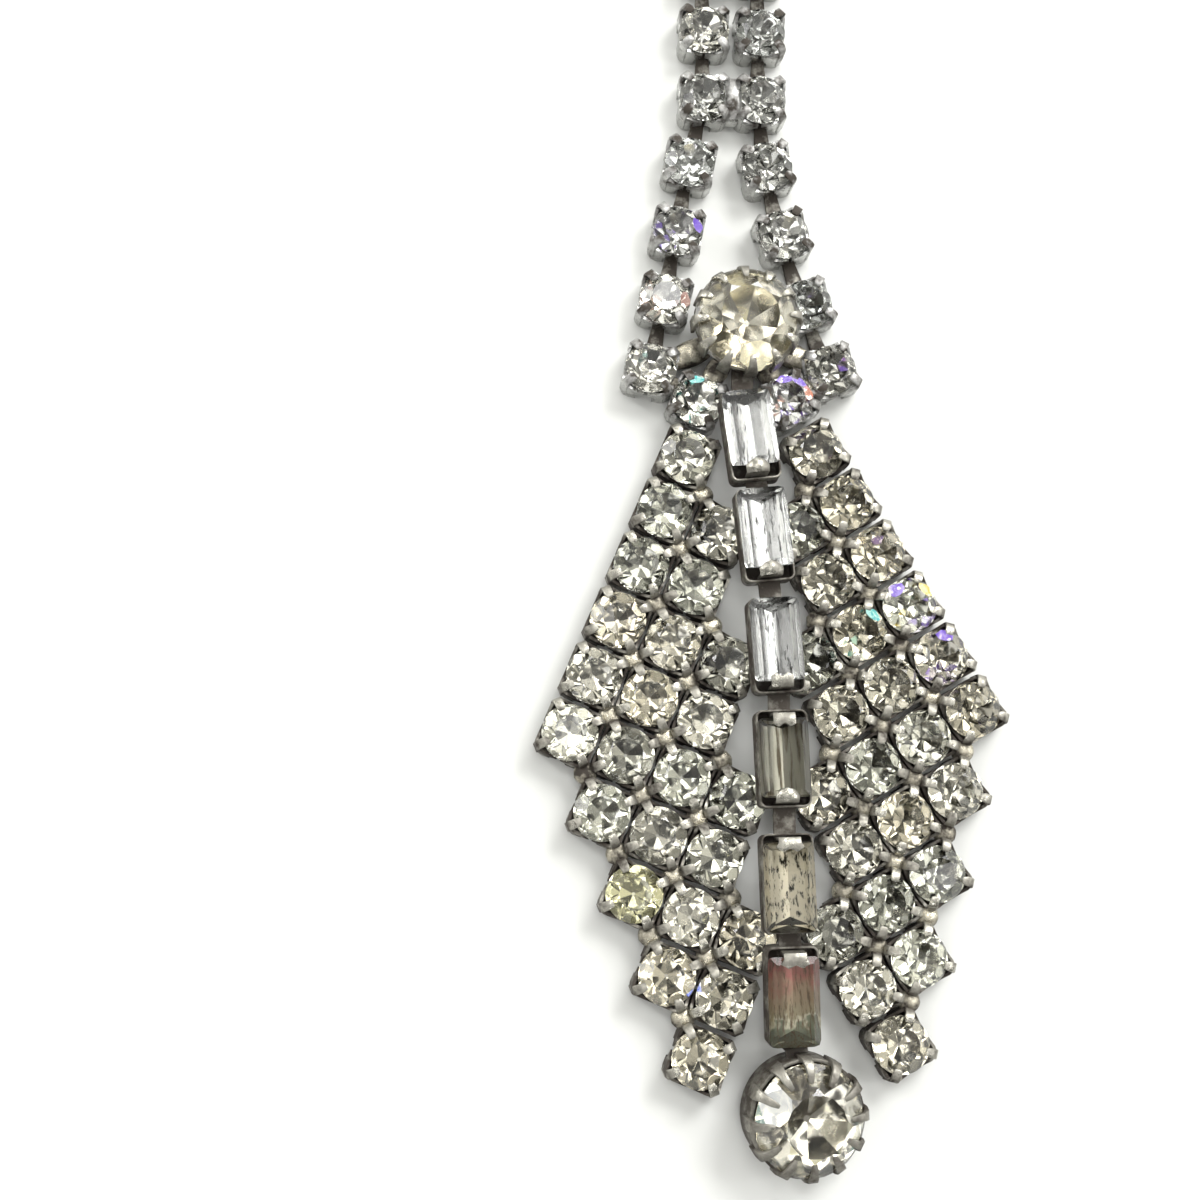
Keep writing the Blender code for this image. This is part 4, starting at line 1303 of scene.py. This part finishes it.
def folded_end(place, end, tip):
    """Route of a staple from its tip on a stone to just outside the tray; end is 1 for the upper end."""
    seat = TRAY["length"] / 2 - TRAY["wall"] - STAPLE["clearance"] - STAPLE["thick"] / 2
    outside = TRAY["length"] / 2 + STAPLE["clearance"]
    top = TRAY["height"] + BAGUETTE["crown"] + STAPLE["over_stone"] + STAPLE["thick"] / 2
    level = STAPLE["level"]
    tongue = [
        (seat - TONGUE["fold"], top - TIPS[tip]["droop"] / 2),
        (seat - TONGUE["bend"], top),
        (seat - TONGUE["lean"], top - TONGUE["drop"]),
    ]
    if tip == "tucked":
        tongue = [(seat - back, height) for back, height in TUCKED_TONGUE]
    foot = TONGUE["foot"]
    route = (*tongue, (seat, level + foot), (seat + foot, level), (outside, level))
    across = place.to_3x3().col[0].copy()
    return [(place @ Vector((0, end * along, height)), across) for along, height in route]


def round_end(form, place, target):
    """Route of a staple from its turned-down tip in a large round setting to just outside the wall."""
    outward = (target - place.translation).xy.normalized()
    across = place.to_3x3() @ TOP.cross(outward.to_3d())
    across *= math.copysign(1, across.x)
    level, seat = ROUND_NOTCH["level"], ROUND_NOTCH["seat"]
    flare = (form["rim"] - form["base"]) * level / ROUND["height"]
    outside = (form["base"] + flare) / 2 + ROUND_NOTCH["reach"]
    foot = TONGUE["foot"]
    route = ((seat, ROUND_NOTCH["tip"]), (seat, level - foot), (seat + foot, level), (outside, level))
    return [(place @ Vector((*(outward * reach), height)), across) for reach, height in route]


def model_staple(route, tips):
    """A flat strip folded along a route, with shaped tongues at both ends."""
    columns, last = STAPLE["columns"], len(route) - 1
    strip = primitive("grid", "staple", x_subdivisions=columns - 1, y_subdivisions=last, size=1)
    bpy.ops.object.mode_set(mode="OBJECT")
    for i, (point, across) in enumerate(route):
        for column in range(columns):
            share = (column / (columns - 1) - 0.5) * STAPLE["width"]
            spot = point + across * share
            for end, row, inwards in (("upper", 0, 1), ("lower", last, -1)):
                tip = TIPS[tips[end]]
                if i == row:
                    along = (route[i + inwards][0] - point).normalized()
                    spot = point + across * share * tip["flare"] + along * tip["back"][column]
                if abs(i - row) < 3:
                    spot -= TOP * tip["droop"] * abs(column - 2) ** 2 / 4
            strip.data.vertices[i * columns + column].co = spot
    bpy.ops.object.mode_set(mode="EDIT")
    bpy.ops.mesh.select_all(action="SELECT")
    bpy.ops.mesh.normals_make_consistent(inside=False)
    bpy.ops.object.mode_set(mode="OBJECT")
    apply_modifier(strip, "SOLIDIFY", thickness=STAPLE["thick"], offset=0)
    bevel_edges(strip, 0.05, 50)
    smooth(40)
    return strip


class EARRING_OT_staples(bpy.types.Operator):
    """Models the seven folded staples that chain the baguettes"""

    bl_idname = "earring.staples"
    bl_label = "Staples"
    bl_options = {"REGISTER", "UNDO"}

    def execute(self, context):
        routes = []
        for number in range(len(TRAY_ROUTE)):
            place = tray_place(number)
            routes.append(folded_end(place, 1, STAPLE_TIPS[number]["lower"]))
            routes.append(folded_end(place, -1, STAPLE_TIPS[number + 1]["upper"]))
        routes.insert(0, round_end(CENTRE, centre_place(), routes[0][-1][0]))
        routes.append(round_end(DROP, drop_place(), routes[-1][-1][0]))
        for number, tips in enumerate(STAPLE_TIPS):
            staple = model_staple(routes[2 * number] + routes[2 * number + 1][::-1], tips)
            paint(staple, metal("tray_silver"))
            dress([staple], f"baguette_staple_{number + 1}", f"baguette_link_{number + 1}")
        return {"FINISHED"}


class EARRING_OT_hook(bpy.types.Operator):
    """Models the ear hook from the frame's wire, rounded and smooth"""

    bl_idname = "earring.hook"
    bl_label = "Ear hook"
    bl_options = {"REGISTER", "UNDO"}

    def execute(self, context):
        hook = bpy.data.objects.new("hook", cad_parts["ear_hook"].data.copy())
        context.scene.collection.objects.link(hook)
        hook.data.transform(Matrix.Scale(1 / MM, 4))
        joined([hook])
        bpy.ops.object.mode_set(mode="EDIT")
        bpy.ops.mesh.select_all(action="SELECT")
        bpy.ops.mesh.remove_doubles(threshold=1e-3)
        bpy.ops.mesh.tris_convert_to_quads()
        close_edit(hook, levels=2, angle=80)
        paint(hook, metal("wire_silver"))
        dress([hook], "ear_hook_wire", "ear_hook")
        return {"FINISHED"}


# Stage


class EARRING_OT_stage(bpy.types.Operator):
    """Makes the pale floor, the soft lights and the camera"""

    bl_idname = "earring.stage"
    bl_label = "Stage"
    bl_options = {"REGISTER", "UNDO"}

    def execute(self, context):
        studio = context.scene.earring_studio
        floor = primitive("grid", "floor", x_subdivisions=4, y_subdivisions=4, size=FLOOR["size"])
        bpy.ops.object.mode_set(mode="OBJECT")
        paint(floor, floor_paper(studio.floor))
        for box in SOFT_BOXES:
            data = bpy.data.lights.new(box["name"], "AREA")
            data.shape = "RECTANGLE"
            data.size, data.size_y = box["size"]
            data.energy = studio.key * box["share"]
            light = bpy.data.objects.new(box["name"], data)
            light.location = box["place"]
            light.rotation_euler = Vector(box["place"]).to_track_quat("Z", "Y").to_euler()
            context.scene.collection.objects.link(light)
        light_the_room(studio.sky)
        right, up = Vector(CAMERA["right"]), Vector(CAMERA["up"])
        lens = bpy.data.cameras.new("camera")
        lens.lens = CAMERA["lens"]
        lens.sensor_width = 36
        lens.clip_start = 0.001
        camera = bpy.data.objects.new("camera", lens)
        turn = Matrix((right, up, right.cross(up))).transposed().to_4x4()
        camera.matrix_world = Matrix.Translation(CAMERA["place"]) @ turn
        context.scene.collection.objects.link(camera)
        context.scene.camera = camera
        context.scene.view_settings.view_transform = "Standard"
        return {"FINISHED"}


def floor_paper(colour):
    material, tree, shader = new_material("floor_paper")
    place = add_node(tree, "TexCoord").outputs["Object"]
    noise = add_node(tree, "TexNoise", {"Vector": place, "Scale": FLOOR["mottle"]})
    dark = [FLOOR["dark"] * part for part in colour[:3]] + [1]
    feed(tree, shader, {
        "Base Color": mix_colours(tree, noise.outputs["Fac"], dark, colour), "Roughness": FLOOR["rough"],
    })
    return material


def light_the_room(strength):
    """A pale room for the camera; what shines in the stones is its bright panes and dark corners."""
    world = bpy.data.worlds.new("studio")
    world.use_nodes = True
    tree = world.node_tree
    place = add_node(tree, "TexCoord").outputs["Generated"]
    panes = add_node(tree, "TexVoronoi", {"Vector": place, "Scale": PANE_SCALE}, distance="CHEBYCHEV")
    level = add_node(tree, "SeparateColor", {0: panes.outputs["Color"]}).outputs[0]
    lean = add_node(tree, "SeparateXYZ", {0: place}).outputs["Y"]
    slope = add_node(tree, "MapRange", {"Value": lean, **ROOM_SLOPE})
    dim = add_node(tree, "Math", {0: slope.outputs["Result"], 1: strength}, operation="MULTIPLY")
    room = tree.nodes["Background"]
    feed(tree, room, {"Strength": dim.outputs[0], "Color": ramp(tree, level, PANES, "CONSTANT")})
    shown = add_node(tree, "MixShader", {
        "Fac": add_node(tree, "LightPath").outputs["Is Camera Ray"],
        1: room.outputs[0],
        2: add_node(tree, "Background").outputs[0],
    })
    feed(tree, tree.nodes["World Output"], {"Surface": shown.outputs[0]})
    bpy.context.scene.world = world


# Panel

OPERATORS = (
    EARRING_OT_wings,
    EARRING_OT_wing_stones,
    EARRING_OT_pairs,
    EARRING_OT_strands,
    EARRING_OT_yoke,
    EARRING_OT_chain_stones,
    EARRING_OT_round_stones,
    EARRING_OT_trays,
    EARRING_OT_baguettes,
    EARRING_OT_staples,
    EARRING_OT_hook,
    EARRING_OT_stage,
)


class EARRING_PT_panel(bpy.types.Panel):
    """Lists the pieces of the earring and their settings"""

    bl_idname = "EARRING_PT_panel"
    bl_label = "Chandelier Earring"
    bl_space_type = "VIEW_3D"
    bl_region_type = "UI"
    bl_category = "Earring"

    def draw(self, context):
        for group in GROUPS:
            settings = getattr(context.scene, group)
            column = self.layout.column(align=True)
            for name in settings.__annotations__:
                column.prop(settings, name)
        for operator in OPERATORS:
            self.layout.operator(operator.bl_idname)


GROUPS = {
    "earring_cups": EarringCups,
    "earring_finishes": EarringFinishes,
    "earring_studio": EarringStudio,
}
CLASSES = (*GROUPS.values(), *OPERATORS, EARRING_PT_panel)


def register():
    for kind in CLASSES:
        bpy.utils.register_class(kind)
    for name, kind in GROUPS.items():
        setattr(bpy.types.Scene, name, bpy.props.PointerProperty(type=kind))


def unregister():
    for name in GROUPS:
        delattr(bpy.types.Scene, name)
    for kind in reversed(CLASSES):
        bpy.utils.unregister_class(kind)


def main():
    register()
    bpy.ops.earring.wings()
    bpy.ops.earring.wing_stones()
    bpy.ops.earring.pairs()
    bpy.ops.earring.strands()
    bpy.ops.earring.yoke()
    bpy.ops.earring.chain_stones()
    bpy.ops.earring.round_stones()
    bpy.ops.earring.trays()
    bpy.ops.earring.baguettes()
    bpy.ops.earring.staples()
    bpy.ops.earring.hook()
    bpy.ops.earring.stage()


if __name__ == "__main__":
    main()
